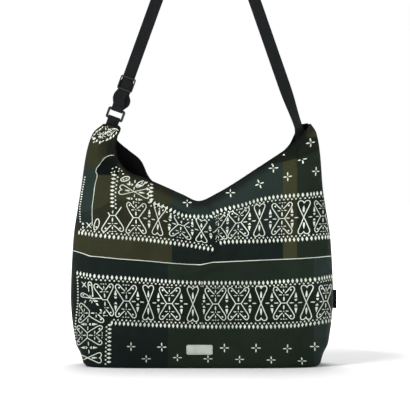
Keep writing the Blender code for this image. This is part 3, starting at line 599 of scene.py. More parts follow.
class Finish:
    """A Principled material with a few node helpers."""

    def __init__(self, name, colour, roughness, specular=0.5):
        self.material = bpy.data.materials.new(name)
        self.material.use_nodes = True
        self.material.diffuse_color = (*colour, 1.0)
        self.tree = self.material.node_tree
        self.inputs = self.tree.nodes["Principled BSDF"].inputs
        self.put(self.inputs["Base Color"], (*colour, 1.0))
        self.put(self.inputs["Roughness"], roughness)
        self.put(self.inputs["Specular IOR Level"], specular)

    def put(self, socket, value):
        if isinstance(value, bpy.types.NodeSocket):
            self.tree.links.new(value, socket)
        else:
            socket.default_value = value

    def node(self, kind, *values, **settings):
        """A node with these settings, and these values in its first inputs."""
        made = self.tree.nodes.new(kind)
        for key, value in settings.items():
            setattr(made, key, value)
        for socket, value in zip(made.inputs, values):
            self.put(socket, value)
        return made

    def math(self, operation, a, b=0.0):
        return self.node("ShaderNodeMath", a, b, operation=operation).outputs[0]

    def ramp(self, value, start, stop, low=0.0, high=1.0):
        made = self.node("ShaderNodeMapRange", value, start, stop, low, high, clamp=True)
        return made.outputs[0]

    def over(self, value, edge, soft=0.5):
        return self.ramp(value, edge - soft, edge + soft)

    def under(self, value, edge, soft=0.5):
        return self.ramp(value, edge - soft, edge + soft, 1.0, 0.0)

    def both(self, first, *others):
        for other in others:
            first = self.math("MULTIPLY", first, other)
        return first

    def mix(self, factor, a, b):
        made = self.node("ShaderNodeMix", factor, data_type="RGBA")
        for socket, value in ((made.inputs[6], a), (made.inputs[7], b)):
            self.put(socket, (*value, 1.0) if isinstance(value, tuple) else value)
        return made.outputs[2]

    def attribute(self, name, output="Vector"):
        return self.node("ShaderNodeAttribute", attribute_name=name).outputs[output]

    def parts(self, vector):
        return self.node("ShaderNodeSeparateXYZ", vector).outputs

    def noise(self, scale, detail=2.0, vector=None):
        if vector is None:
            vector = self.node("ShaderNodeTexCoord").outputs["Object"]
        made = self.node("ShaderNodeTexNoise", vector)
        made.inputs["Scale"].default_value = scale
        made.inputs["Detail"].default_value = detail
        return made.outputs[0]

    def tone(self, scale, detail, low, high, vector=None):
        """A number from low to high that changes softly over the surface."""
        return self.ramp(self.noise(scale, detail, vector), 0.3, 0.7, low, high)

    def wave(self, *ways):
        """Sine of the sum of (coordinate, pitch) ways."""
        first, *others = (
            self.math("MULTIPLY", way, 2 * math.pi / pitch) for way, pitch in ways
        )
        for other in others:
            first = self.math("ADD", first, other)
        return self.math("SINE", first)

    def paint(self, colour, *tones):
        """Sets the base colour to colour times the tones."""
        made = self.node("ShaderNodeVectorMath", colour, operation="SCALE")
        self.put(made.inputs[3], self.both(*tones))
        self.put(self.inputs["Base Color"], made.outputs[0])

    def bump(self, height, strength, distance):
        made = self.node("ShaderNodeBump")
        for name, value in (("Strength", strength), ("Distance", distance), ("Height", height)):
            self.put(made.inputs[name], value)
        self.put(self.inputs["Normal"], made.outputs[0])


GREEN = srgb(27, 37, 28)
SLATE = srgb(35, 46, 43)
DEEP_SLATE = srgb(18, 27, 25)
OLIVE = srgb(44, 45, 29)
LIGHT_OLIVE = srgb(55, 56, 36)
# Dark slate cloth deepened with painted shade, for the wedge in the inward fold under the left horn
DARK_SLATE_WITH_PAINTED_SHADE = srgb(3, 8, 5)
# Olive of the turned-over hem, darkened with painted shade
TURNED_HEM_OLIVE_WITH_PAINTED_SHADE = srgb(23, 29, 20)
# Olive under the left horn's gathers, darkened with painted shade
HORN_OLIVE_WITH_PAINTED_SHADE = srgb(22, 24, 16)
BAND_SHADE = srgb(11, 15, 13)
# Painted shade for a strip just under the mouth edge, where the hem's fold shades the cloth
HEM_PAINTED_SHADE = srgb(14, 16, 13)
THREAD_PITCH = 1 / 2.6


def printed_cloth(name, side):
    """Fields of colour, laid out in photo pixels u and v, under a plain weave."""
    made = Finish(name, GREEN, 0.62, 0.05)
    over, under = made.over, made.under
    place = made.attribute("place")
    u, v, above = made.parts(place)
    upper, lower, hem = made.parts(made.attribute("bands"))
    fold = made.attribute("fold", "Fac")
    over_line, under_line = under(above, 0.0, 0.3), over(above, 0.0, 0.3)
    middle = made.both(over_line, over(u, 172), under(u, 283))
    fields = [
        (OLIVE, over_line, under(u, 172)),
        (SLATE, middle),
        (LIGHT_OLIVE, over_line, over(u, 283), under(u, 297)),
        (DEEP_SLATE, under_line, under(u, 168)),
        (DEEP_SLATE, middle, over(v, 234, 4)),
        (SLATE, under_line, over(u, 314, 1.5)),
    ]
    if side < 0:
        fields += [
            (SLATE, under(fold, 0.0, 0.4), over(v, 168, 4), under(v, 226, 0.8)),
            # The wedge in the inward fold under the left horn: dark slate cloth deepened with
            # painted shade of the fold
            (DARK_SLATE_WITH_PAINTED_SHADE, over(fold, 0.0, 0.4), over(v, 157, 1), under(v, 175, 0.8),
             under(u, 118, 0.6)),
            # The turned-over hem above the hem fold on the right flank, which hides the print
            # there: its olive darkened with painted shade
            (TURNED_HEM_OLIVE_WITH_PAINTED_SHADE, over(u, 260), under(fold, 0.0, 0.7), under(v, 168)),
            (LIGHT_OLIVE, over(u, 306, 1), under(u, 318, 1), under(v, 137, 1)),
            # Olive cloth under the left horn's gathers, darkened with painted shade
            (HORN_OLIVE_WITH_PAINTED_SHADE, under(u, 118), under(v, 157, 3), over(u, 102, 6), over(v, 141, 3), 0.9),
        ]
    in_band = made.math("MAXIMUM", under(upper, 2, 1), under(lower, 0, 1))
    # The second field darkens a strip just under the mouth edge: painted shade of the hem's fold
    fields += [(BAND_SHADE, in_band, 0.42), (HEM_PAINTED_SHADE, under(hem, 6, 3), 0.62)]
    colour = GREEN
    for field, *masks in fields:
        colour = made.mix(made.both(*masks), colour, field)
    made.paint(colour, made.tone(11.0, 4.0, 0.80, 1.16), made.tone(1.0, 3.0, 0.92, 1.08, place))
    made.put(made.inputs["Roughness"], made.tone(60.0, 2.0, 0.52, 0.70))
    weave = made.both(made.wave((u, THREAD_PITCH)), made.wave((v, THREAD_PITCH)))
    made.bump(weave, 0.35, 0.0003)
    return made.material


def plain_cloth(name, colour, roughness, grain=900.0, strength=0.3):
    made = Finish(name, colour, roughness, 0.04)
    made.paint(colour, made.tone(26.0, 4.0, 0.75, 1.25))
    made.bump(made.noise(grain), strength, 0.0002)
    return made.material


RIB_PITCH, TWILL_PITCH = 0.00165, 0.0011


def webbing_finish(name, colour):
    """Ribbed webbing, with the ribs along the strap."""
    made = Finish(name, colour, 0.58, 0.10)
    a, s, _ = made.parts(made.attribute("weave"))
    twill = made.wave((s, TWILL_PITCH), (a, 2 * RIB_PITCH))
    height = made.math("ADD", made.wave((a, RIB_PITCH)), made.math("MULTIPLY", twill, 0.6))
    # The rib tops are painted lighter and the grooves darker: painted highlight and painted shade
    # of the ribs, with a random tone on top
    made.paint(colour, made.ramp(height, -1.6, 1.6, 0.72, 1.30), made.tone(34.0, 3.0, 0.85, 1.15))
    made.bump(height, 0.5, 0.00025)
    return made.material


def plastic_finish(name, colour):
    made = Finish(name, colour, 0.34)
    made.put(made.inputs["Roughness"], made.tone(180.0, 3.0, 0.28, 0.44))
    made.paint(colour, made.tone(90.0, 3.0, 0.85, 1.15))
    made.bump(made.noise(1500.0), 0.12, 0.0001)
    return made.material


# Print


def flat_table(height, side):
    """Pixel places across a wall and the same places along the unrolled cloth."""
    px = np.linspace(60, 345, 2281 if side < 0 else 286)
    share, z = on_wall(px, np.full(px.shape, height), side)
    rise = np.diff(skin(side, share, z, 0.0)[:, 1])
    most = 6 * np.diff(px)
    run = np.minimum(np.hypot(np.diff(px), rise / PIXEL), most)
    if side < 0:
        run = np.where(np.abs(rise) < 1e-9, most, run)
    flat = np.concatenate([[0.0], np.cumsum(run)])
    middle = 202 if side < 0 else 205
    return px, flat - np.interp(middle, px, flat) + middle


def rotated(a, b, degrees):
    c, s = math.cos(math.radians(degrees)), math.sin(math.radians(degrees))
    return a * c - b * s, a * s + b * c


def at(cx, cy, table=None, turn=0.0, sx=1.0, sy=1.0):
    """Places round a centre in the photo. A table squeezes what lies near a side."""

    def place(a, b):
        a, b = rotated(np.asarray(a, float) * sx, np.asarray(b, float) * sy, turn)
        if table is None:
            return cx + a, cy - b
        px, flat = table
        return np.interp(np.interp(cx, px, flat) + a, flat, px), cy - b

    return place


def on_band(cx, band, turn=0.0, sx=1.0):
    """Places on a band (middle line, half height, table), at cx along it."""
    centre, reach, table = band

    def place(a, b):
        a, b = rotated(np.asarray(a, float) * sx, np.asarray(b, float), turn)
        x, _ = at(cx, 0, table)(a, 0)
        return x, level(centre, x) - b * level(reach, x) / MOTIF_REACH

    return place


def on_line(line, run, s, step):
    """Place at length s of a line, and its turn there in degrees."""
    (x0, y0), (x, y), (x1, y1) = (
        [np.interp(length, run, way) for way in line.T] for length in (s - step, s, s + step)
    )
    return x, y, math.degrees(math.atan2(y0 - y1, x1 - x0))


def oval(a, b):
    t = np.linspace(0, 2 * math.pi, 17)[:-1]
    return np.stack([a * np.cos(t), b * np.sin(t)], axis=1)


LINE_WIDTH = 0.80
ARM = [(2.7, 0.0), (9.4, 10.6), (10.4, 12.8), (10.3, 14.8), (9.0, 16.3), (7.3, 16.2), (5.9, 15.0),
       (4.3, 12.8), (1.2, 9.9)]
HEART = [(0.0, 0.0), (4.9, 12.2), (5.5, 14.0), (5.5, 15.6), (4.7, 16.9), (3.4, 17.4), (2.0, 17.2),
         (0.9, 16.4), (0.0, 15.0)]
SPIKE = [(-1.35, 5.6), (0, 5.0), (1.35, 5.6), (0.75, 8.0), (0, 10.6), (-0.75, 8.0)]
CUP = [(-1.4, 3.9), (0, 3.5), (1.4, 3.9), (0.9, 2.4), (0, 1.6), (-0.9, 2.4)]
DIAMOND = [(-1, 0), (-0.55, 0.55), (0, 1), (0.55, 0.55), (1, 0), (0.55, -0.55), (0, -1),
           (-0.55, -0.55)]
SECOND_ROW = 3.35


class Ink:
    """Print gathered as polygons in photo places, then laid on the cloth."""

    def __init__(self, side):
        self.side = side
        self.points, self.faces, self.count = [], [], 0

    def add(self, place, points, faces):
        self.points.append(np.stack(place(*points.T), axis=1))
        self.faces += [[i + self.count for i in face] for face in faces]
        self.count += len(points)

    def blob(self, place, outline):
        """A convex shape."""
        outline = np.asarray(outline, float)
        n = len(outline)
        fan_faces = [[0, 1 + k, 1 + (k + 1) % n] for k in range(n)]
        self.add(place, np.concatenate([outline.mean(axis=0)[None], outline]), fan_faces)

    def ellipse(self, place, a, b, half_length, half_width, angle=0, sides=8, taper=0.0):
        t = np.linspace(0, 2 * math.pi, sides, endpoint=False)
        wide = half_width * np.sin(t) * (1 - taper * np.cos(t))
        u, v = rotated(half_length * np.cos(t), wide, angle)
        self.blob(place, np.stack([a + u, b + v], axis=1))

    def ribbon(self, place, line, width=LINE_WIDTH, closed=False):
        points = dense_line([*line, line[0]] if closed else line, 1.3)
        before = unit(np.diff(points, axis=0))
        offset = mitres(np.stack([-before[:, 1], before[:, 0]], axis=1), closed) * width / 2
        n = len(points)
        self.add(place, np.concatenate([points + offset, points - offset]),
                 [[k, k + 1, n + k + 1, n + k] for k in range(n - 1)])

    def stroke(self, line, width, closed=False):
        """A ribbon along photo places."""
        self.ribbon(at(0, 0), [(x, -y) for x, y in line], width, closed)

    def petals(self, place, angles, reach, half_length, half_width, sides=6, taper=0.0):
        for angle in angles:
            a, b = rotated(reach, 0.0, angle)
            self.ellipse(place, a, b, half_length, half_width, angle, sides, taper)

    def grains(self, places, half_length, half_width, table=None, sides=6, taper=0.0):
        """Small strokes at (x, y, turn), or with a half length of their own."""
        for cx, cy, turn, *own in places:
            self.ellipse(at(cx, cy, table), 0, 0, own[0] if own else half_length, half_width,
                         turn, sides, taper)

    def star(self, place, without=()):
        """Two V shapes with round arms, joined by a bar, less arms that a neighbour covers."""
        self.ribbon(place, [(-2.7, 0), (2.7, 0)])
        for sy in (1, -1):
            for b, *shape in ((4.3, 2.2, 0.66, 90, 8), (12.8, 1.5, 0.52, 90 * sy, 6, 0.3),
                              (8.2, 0.5, 0.5, 0, 6), (16.2, 0.9, 0.42, 0, 6)):
                self.ellipse(place, 0, sy * b, *shape)
            for sx in (1, -1):
                if (sx, sy) in without:
                    continue
                self.ribbon(place, [(a * sx, b * sy) for a, b in ARM])
                for a, b, *shape in ((6.9, 13.1, 0.9, 0.9), (3.3, 8.2, 1.6, 0.5, 0, 6),
                                     (2.6, 16.2, 0.9, 0.42, 0, 6)):
                    self.ellipse(place, sx * a, sy * b, *shape)

    def hourglass(self, place):
        """Two hearts that meet at their points."""
        for sy in (1, -1):
            half = [(a, b * sy) for a, b in HEART]
            self.ribbon(place, half + [(-a, b) for a, b in half[-2::-1]])
            self.ellipse(place, 0, sy * 8.6, 3.5, 0.85, 90 * sy, 8, 0.45)

    def drops(self, place, dashes=True):
        """Spikes and cups above and below a row of dashes."""
        for sy in (1, -1):
            for shape in (SPIKE, CUP):
                self.blob(place, [(a, b * sy) for a, b in shape])
            if dashes:
                self.ellipse(place, sy * 4.3, 0, 2.1, 0.56)

    def cross(self, place):
        self.petals(place, (0, 90, 180, 270), 2.75, 2.0, 0.62, 8, -0.25)

    def row(self, figure, places, band, **settings):
        for cx in places:
            figure(on_band(cx, band), **settings)

    def border(self, line, inward, table, pitch=4.15, large=(1.15, 2.3), small=0.88, rows=2):
        """A row of diamonds along a line, with a row of small ones inside it."""
        px, flat = table
        line = np.array(line, float)
        dense = np.array([between(start, end, k / 12) for start, end in zip(line, line[1:])
                          for k in range(12)] + [line[-1]])
        unrolled = np.stack([np.interp(dense[:, 0], px, flat), dense[:, 1]], axis=1)
        run = travelled(unrolled)
        for row, (w, h) in enumerate((large, (small, small))[:rows]):
            for s in np.arange(pitch / 2 * (row + 1), run[-1], pitch):
                u, v, turn = on_line(unrolled, run, s, 0.5)
                self.blob(at(np.interp(u, flat, px), v, table, turn),
                          [(a * w, b * h - inward * SECOND_ROW * row) for a, b in DIAMOND])

    def lay(self, name, finish, top=0.00030, bottom=-0.00035, keep=None, margin=0.0024):
        """The print as thin closed pieces, less what falls off the cloth."""
        points = np.concatenate(self.points)
        share, z = on_wall(*points.T, self.side)
        low_z = np.maximum(z, 0)
        flat = skin(self.side, share, low_z, 0.0)
        good = (share > 0.002) & (share < 0.998) & (z > 0.0015)
        good &= inside_cloth(flat[:, 0], flat[:, 2], self.side, margin)
        if keep is not None:
            good &= keep(*points.T)
        out = fold_height(*to_photo(flat, self.side), np.clip(share, 0, 1), z, self.side)
        faces = [face for face in self.faces if all(good[i] for i in face)]
        edges = dict.fromkeys(pair for face in faces for pair in zip(face, face[1:] + face[:1]))
        n = len(points)
        solid = faces + [[i + n for i in reversed(face)] for face in faces]
        solid += [[j, i, i + n, j + n] for i, j in edges if (j, i) not in edges]
        used = sorted({i for face in solid for i in face})
        renumber = {old: new for new, old in enumerate(used)}
        solid = [[renumber[i] for i in face] for face in solid]
        both = np.concatenate(
            [skin(self.side, share, low_z, -(out + lift)) for lift in (top, bottom)])
        return make_object(name, both[used], solid, finish, smooth=False)


UPPER_TABLE, LOWER_TABLE = flat_table(220.0, -1), flat_table(303.0, -1)
UPPER_BAND = (UPPER_CENTRE, UPPER_REACH, UPPER_TABLE)
LOWER_BAND = (LOWER_CENTRE, LOWER_REACH, LOWER_TABLE)
CUT_BAND = ([(70, 215.5), (160, 215.5)], [(70, 17), (160, 17)], UPPER_TABLE)
# What lies under this line of the photo shows of the figures that the folds cut off
CUT_LINE = [(84, 222), (112, 210), (118, 206), (166, 212), (181, 220), (190, 222), (212, 214),
            (222, 213)]
PLEAT_LEFT, PLEAT_RIGHT = 200, 214.8


def shown_when_cut(px, py):
    return (py > level(CUT_LINE, px)) & ((px < PLEAT_LEFT) | (px > PLEAT_RIGHT))


def front_bands(ink, cut):
    ink.stroke(WHITE_LINE, 0.66)
    ink.stroke(FOLD_LINE, 0.42)
    ink.border(LOWER_TOP, 1, LOWER_TABLE)
    ink.border(LOWER_BOTTOM, -1, LOWER_TABLE)
    ink.row(ink.star, (125.5, 169.9, 215.5, 238.5, 283.3, 324.8), LOWER_BAND)
    ink.star(at(104.4, 299.8, LOWER_TABLE, 0, 0.86, 0.98), without=[(-1, -1)])
    ink.row(ink.hourglass, (147.9, 192.8, 261, 305.1), LOWER_BAND)
    ink.row(ink.drops, (136.9, 158.6, 181.5, 203.9, 250, 271.9, 295, 314.8), LOWER_BAND)
    ink.row(ink.drops, (115, 226.9), LOWER_BAND, dashes=False)

    # Upper band, right of the pleat and left of it
    ink.border(UPPER_TOP, 1, UPPER_TABLE)
    ink.border(UPPER_BOTTOM_LEFT, -1, UPPER_TABLE)
    ink.border(UPPER_BOTTOM_RIGHT, -1, UPPER_TABLE)
    ink.row(ink.star, (238.5, 282.5, 323.2), UPPER_BAND)
    ink.row(ink.hourglass, (259.6, 304), UPPER_BAND)
    ink.row(ink.drops, (249.6, 270.6, 292.8, 313.8), UPPER_BAND)
    ink.row(ink.drops, (227.2,), UPPER_BAND, dashes=False)
    for figure, cx, turn, sx in (
        (ink.hourglass, 159.4, -6, 1), (ink.hourglass, 201.4, 0, 1), (ink.drops, 149.8, -3, 1),
        (ink.drops, 170.4, -4, 1), (ink.drops, 192.2, 0, 1), (ink.drops, 210.3, 4, 1),
        (ink.star, 136.2, -2, 1), (cut.star, 181.2, -3, 1), (cut.star, 218.2, 0, 0.85),
    ):
        figure(on_band(cx, UPPER_BAND, turn, sx))
    cut.star(on_band(112.2, CUT_BAND))


def lower_left_corner(ink):
    """The corner and the band that runs down from it."""
    ink.border([(77.8, 276), (77.2, 297), (75.6, 318), (75.0, 336), (77, 352)], -1, LOWER_TABLE,
               2.9, (0.85, 1.05), 0.7, 1)
    ink.border([(109.3, 323), (109.2, 340), (108.9, 366)], 1, LOWER_TABLE, 4.1)
    ink.petals(at(84.6, 284.6, LOWER_TABLE, 45), (0, 90), 0.0, 4.3, 0.42)
    pod = at(91.7, 288.6, LOWER_TABLE)
    ink.ribbon(pod, [(2.1, -8.0), (2.2, 4.6), (1.5, 6.2), (0, 6.9), (-1.5, 6.2), (-2.2, 4.6),
                     (-2.2, -3.0)])
    ink.ellipse(pod, 0, 3.6, 0.8, 0.8)
    pod = at(84.4, 295.6, LOWER_TABLE, -8)
    ink.ribbon(pod, [(12.0, -1.6), (8.0, -1.4), (-3.0, -1.9), (-4.6, -1.2), (-5.2, 0.2),
                     (-4.6, 1.7), (-3.0, 2.3), (2.0, 1.2), (6.4, -1.2)])
    ink.ellipse(pod, -2.2, 0.3, 0.8, 0.8)
    burst = at(92.6, 298.6, LOWER_TABLE)
    ink.petals(burst, (80, 130, 215, 262, 312), 3.2, 1.7, 0.42)
    ink.ribbon(burst, [(0, 0), (5.4, 0.3), (9.6, 0.0)])
    ink.grains([(97.4, 304.4, -55), (100.6, 310.4, -60), (96.6, 301.0, -20), (84.2, 301.8, 60),
                (83.4, 305.4, -40)], 1.6, 0.66, LOWER_TABLE, 8, 0.3)
    ink.star(at(90.2, 313.0, LOWER_TABLE, 90, 0.92, 0.84), without=[(1, -1)])
    ink.star(at(88.7, 335.2, LOWER_TABLE, 90, 0.92, 0.84))
    ink.hourglass(at(87.5, 357.8, LOWER_TABLE, 90, 0.92, 0.84))
    for cy in (324.2, 347.6):
        ink.drops(at(89, cy, LOWER_TABLE, 90, 0.92, 0.86))


def crosses(ink):
    """Crosses under the lower band and beside the mouth, as (x, y, turn)."""
    for table, sx, sy, places in (
        (LOWER_TABLE, 1.0, 0.92, [(131, 346.6, 0), (162, 347, 0), (224.5, 348, 0), (256, 348, 0),
                                  (287.3, 348.6, 0), (315.5, 346.6, 0)]),
        (LOWER_TABLE, 0.97, 0.76, [(146.3, 358.8, 0), (177.5, 357.6, 0), (208.0, 358.8, 0),
                                   (239.6, 359.4, 0), (271.3, 360, 0), (302, 361.0, 0)]),
        (UPPER_TABLE, 0.97, 0.97, [(187.3, 202.5, 0), (230.2, 192.7, 2), (257.9, 183.8, 20),
                                   (271.8, 168, 4), (286.4, 176.6, 8), (315, 171.3, 0),
                                   (310.5, 142.7, 10)]),
    ):
        for cx, cy, turn in places:
            ink.cross(at(cx, cy, table, turn, sx, sy))
    half_hidden = at(299.2, 159.4, UPPER_TABLE)
    for a, b, *shape in ((2.9, 0.6, 2.0, 0.6, 14), (-2.9, -0.8, 2.0, 0.6, 14),
                         (0.4, -2.6, 1.8, 0.62, 94)):
        ink.ellipse(half_hidden, a, b, *shape)
    ink.ellipse(at(283.6, 154.8, UPPER_TABLE), 0, 0, 0.9, 0.8)


def folded_corner(ink):
    """The folded-back corner under the left horn."""
    ink.border([(114, 173), (112.6, 186), (112, 196), (112, 209)], -1, UPPER_TABLE, 3.9)
    ink.border([(152.5, 182), (151.6, 190), (152.4, 199), (153.6, 203)], 1, UPPER_TABLE, 3.9)
    ink.border([(83.2, 222), (83.4, 233)], 1, UPPER_TABLE, 3.6, (1.2, 1.2), 0.8, 1)
    ink.border([(85.6, 176), (82.4, 192), (80.3, 206), (80.6, 222)], 1, UPPER_TABLE, 2.5,
               (0.75, 1.1), 0.6, 1)
    ink.hourglass(at(134.5, 191.6, UPPER_TABLE, 82, 0.85, 0.92))
    for cy in (184.9, 199.0):
        ink.drops(at(134.6, cy, UPPER_TABLE, 84, 0.80, 0.86))
    for cx, cy, turn in ((124.4, 178.9, 14), (140.6, 184.0, 28)):
        pod = at(cx, cy, UPPER_TABLE, turn)
        ink.ribbon(pod, oval(5.2, 2.2), closed=True)
        ink.ellipse(pod, -2.2, 0, 0.8, 0.8)
        ink.ellipse(pod, 1.6, 0, 1.5, 0.5, 20, 6)
    ink.grains([(122.4, 174.0, 8), (132.2, 176.4, -20), (136.6, 177.8, -10), (143, 180, -30),
                (146.6, 182.6, 30), (129.3, 182.4, 80), (147.8, 188.6, -60)], 1.4, 0.65,
               UPPER_TABLE)
    ink.petals(at(89.2, 225.2, UPPER_TABLE, 45), (0, 90), 0.0, 4.4, 0.42)
    pod = at(96.8, 224.4, UPPER_TABLE, -8)
    ink.ribbon(pod, oval(2.3, 5.6), closed=True)
    ink.ellipse(at(96.8, 224.4, UPPER_TABLE), 0, -2.6, 0.8, 0.8)


def horn_print(ink):
    """The crowded end of a motif on the gathered sleeve of the left horn."""
    ink.grains([(113.3, 136, 62), (109.7, 138, 58), (105.7, 139.7, 52), (102.3, 141.4, 48),
                (99.5, 142.4, 70), (96, 140.8, 60), (94, 138.6, 50), (116, 133.2, 66)],
               1.6, 0.72, None, 8, -0.3)
    ink.stroke([(117.6, 128.4), (113.5, 129.4), (109.2, 131.0), (106.4, 133.6), (106.8, 135.4),
                (109.6, 134.6), (113.4, 131.8)], 0.6, closed=True)
    ink.ellipse(at(110.6, 132.3), 0, 0, 2.3, 0.65, 30)
    ink.petals(at(100.2, 135.2), range(22, 382, 45), 2.3, 1.3, 0.4)
    ink.grains([
        (107.4, 126.2, 60, 1.5), (110.8, 124.8, 20, 1.0), (104.8, 128.2, 70, 2.2),
        (102.4, 126.6, 64, 1.8), (99.6, 129.4, 40, 1.9), (96.6, 131.6, 44, 1.7),
        (94.4, 134.6, 40, 1.5), (104.2, 133.0, 80, 1.7), (97.8, 136.8, 30, 1.4),
        (103.8, 137.6, 60, 1.3), (107.8, 129.4, 66, 1.4), (92.6, 137.4, 60, 1.1),
        (106.2, 123.6, 50, 1.0), (113.2, 127.2, 20, 1.4), (93.4, 142.0, 66, 1.2),
        (111.2, 134.6, 50, 1.2)], None, 0.42)
    ink.stroke([(118.4, 130.6), (116.0, 128.8), (112.6, 128.4), (109.4, 129.4), (106.6, 131.2),
                (104.6, 133.6)], 0.6)
    ink.grains([(112.4, 168.6, 40), (115.6, 167.2, -20), (118.6, 168.8, 30), (114.0, 171.6, 80),
                (117.4, 171.2, 10), (111.6, 172.6, 0), (121.2, 171.0, -30)], 0.9, 0.5)


def back_print():
    """The same bands, straight across the back."""
    ink = Ink(1)
    upper_table, lower_table = flat_table(220.0, 1), flat_table(303.0, 1)
    ink.stroke([(68, 257), (342, 257)], 0.66)
    for table, middle, half in ((lower_table, 303.0, 22.6), (upper_table, 222.0, 21.6)):
        band = ([(60, middle), (345, middle)], [(60, 16.6), (345, 16.6)], table)
        ink.border([(66, middle - half), (344, middle - half)], 1, table)
        ink.border([(66, middle + half), (344, middle + half)], -1, table)
        low, high = np.interp((74, 336), *table)
        for k, flat in enumerate(np.arange(low + 8, high - 4, 11.2)):
            figure = (ink.star, ink.drops, ink.hourglass, ink.drops)[k % 4]
            figure(on_band(np.interp(flat, table[1], table[0]), band))
    for row, cy in enumerate((345.0, 357.5)):
        for cx in np.arange(92 + 15.6 * row, 322, 31.2):
            ink.cross(at(cx, cy, lower_table))
    for row, cy in enumerate((190, 178, 166, 154)):
        for cx in np.arange(88 + 15.6 * (row % 2), 325, 31.2):
            ink.cross(at(cx, cy, upper_table))
    return ink


# Webbing

SELVEDGE = 0.93
# Share of a stray's lean that the webbing's width follows
LEAN_SHARE = 0.25
# Sideways strays of the slack webbing between loop and slider, and the heights they run over
FRONT_STRAY, BACK_STRAY = -0.0042, 0.0065
FRONT_DROP = 0.005
FAN_START, FAN_END = 0.0105, 0.040
FAN_RISE, FAN_FALL = 0.013, 0.014
END_WRAP_WIDTH = STRAP_WIDTH * 1.09
HALF_STRAP = STRAP_THICKNESS / 2
SLIDER_FRONT = HALF_STRAP + 2 * CLEARANCE + STRAP_THICKNESS + STRAP_PLANE_Y
BACK_LANE = SLIDER_FRONT + SLIDER_BAR_THICKNESS + CLEARANCE + HALF_STRAP
FRONT_RUN_FOOT = UPPER_BAR_Z + FRONT_RUN_START


def strap_frame():
    """The strap's own frame: the loop's middle, leaning as the left strand does."""
    lean = Matrix.Rotation(LEFT_LEAN, 4, "Y")
    exit_point = Vector(((LEFT_TIP[0] - LEFT_HORN_REACH) / 2, 0, (LEFT_TIP[1] + HORN_HEIGHT) / 2))
    return Matrix.Translation(exit_point + lean @ Vector((0, 0, TAB_REACH))) @ lean


STRAP = strap_frame()
SIDEWAYS = STRAP.to_3x3() @ Vector((1, 0, 0))
UP_LEFT = (STRAP.to_3x3() @ Vector((0, 0, 1))).normalized()


def webbing(name, stations, finish, width=STRAP_WIDTH):
    """Woven strap along (centre, direction across) stations, with soft selvedges."""
    centres, wide = (np.array([np.array(station[k]) for station in stations]) for k in (0, 1))
    run = unit(np.gradient(centres, axis=0))
    wide = unit(wide - LEAN_SHARE * run * (wide * run).sum(axis=1)[:, None])
    through = np.cross(run, wide)
    a = np.sin(np.linspace(-math.pi / 2, math.pi / 2, 15))
    rounding = np.maximum(np.abs(a) - SELVEDGE, 0) / (1 - SELVEDGE)
    thick = HALF_STRAP * np.sqrt(np.clip(1 - rounding ** 2, 0.02, 1))
    ring_a = np.concatenate([a, a[::-1]])
    ring_t = np.concatenate([-thick, thick[::-1]])
    rings = (centres[:, None] + wide[:, None] * (ring_a * width / 2)[None, :, None]
             + through[:, None] * ring_t[None, :, None])
    weave = np.stack(np.broadcast_arrays(
        ring_a * STRAP_WIDTH / 2, travelled(centres)[:, None], 0.0), axis=-1)
    return lofted(name, rings, finish, attributes=[("weave", weave.reshape(-1, 3))])


def fan(z, size):
    """Sideways stray of a slack webbing run between loop and slider."""
    return size * float(smoothstep((z - FAN_START) / FAN_RISE)
                        * smoothstep((FAN_END - z) / FAN_FALL))


def band_stations(centre, stray=0.0):
    """Stations of webbing bent in the YZ plane of the strap's own frame."""
    return [(STRAP @ Vector((fan(z, stray) if y > 0 else 0, y, z)), SIDEWAYS)
            for y, z in dense_line(centre, 0.0012)]


def arc(y, z, radius, start, stop, steps):
    angles = np.radians(np.linspace(start, stop, steps + 1))
    return list(zip(y + radius * np.cos(angles), z + radius * np.sin(angles)))


def ring_tab_line():
    foot = -TAB_REACH - TAB_DEPTH_IN_HORN
    pinch = LOWER_BAR_Z - WRAP_RADIUS * 1.9
    leg = HALF_STRAP + CLEARANCE / 2
    corner = STRAP @ Vector((-STRAP_WIDTH / 2, 0, foot))
    lining = wall(1, across(corner.x, corner.z, CLOTH_TOTAL), corner.z, CLOTH_TOTAL)
    spread = max(leg, float(lining[1]) - 3 * CLEARANCE - HALF_STRAP)
    front = [(-spread, foot), (-leg, foot + TAB_FLARE), (-leg, pinch)]
    round_bar = arc(0, LOWER_BAR_Z, WRAP_RADIUS, 215, -35, 24)
    return front + round_bar + [(-y, z) for y, z in reversed(front)]


def strap_return_lines():
    """The turn round the loop's upper bar, and the run from there up behind the slider."""
    reach = -STRAP_PLANE_Y
    bend = LOOP_ROUNDING + CLEARANCE + HALF_STRAP
    turn_z = UPPER_BAR_Z - reach + bend
    over_bar = UPPER_BAR_Z + 0.001
    top = SLIDER_DISTANCE - SLIDER_CENTRE_BAR / 2 - SEWN_END_LENGTH - CLEARANCE
    split = (reach, UPPER_BAR_Z + 0.0025)
    lower = [(-reach, FRONT_RUN_FOOT - CLEARANCE), (-reach, over_bar)]
    lower += arc(bend - reach, turn_z, bend, 180, 270, 10)
    lower += arc(reach - bend, turn_z, bend, 270, 360, 10)
    lower += [(reach, over_bar), split]
    upper = [split, (between(reach, BACK_LANE, 0.6), between(UPPER_BAR_Z, top, 0.5)),
             (BACK_LANE, top - 0.002), (BACK_LANE, top)]
    return lower, upper


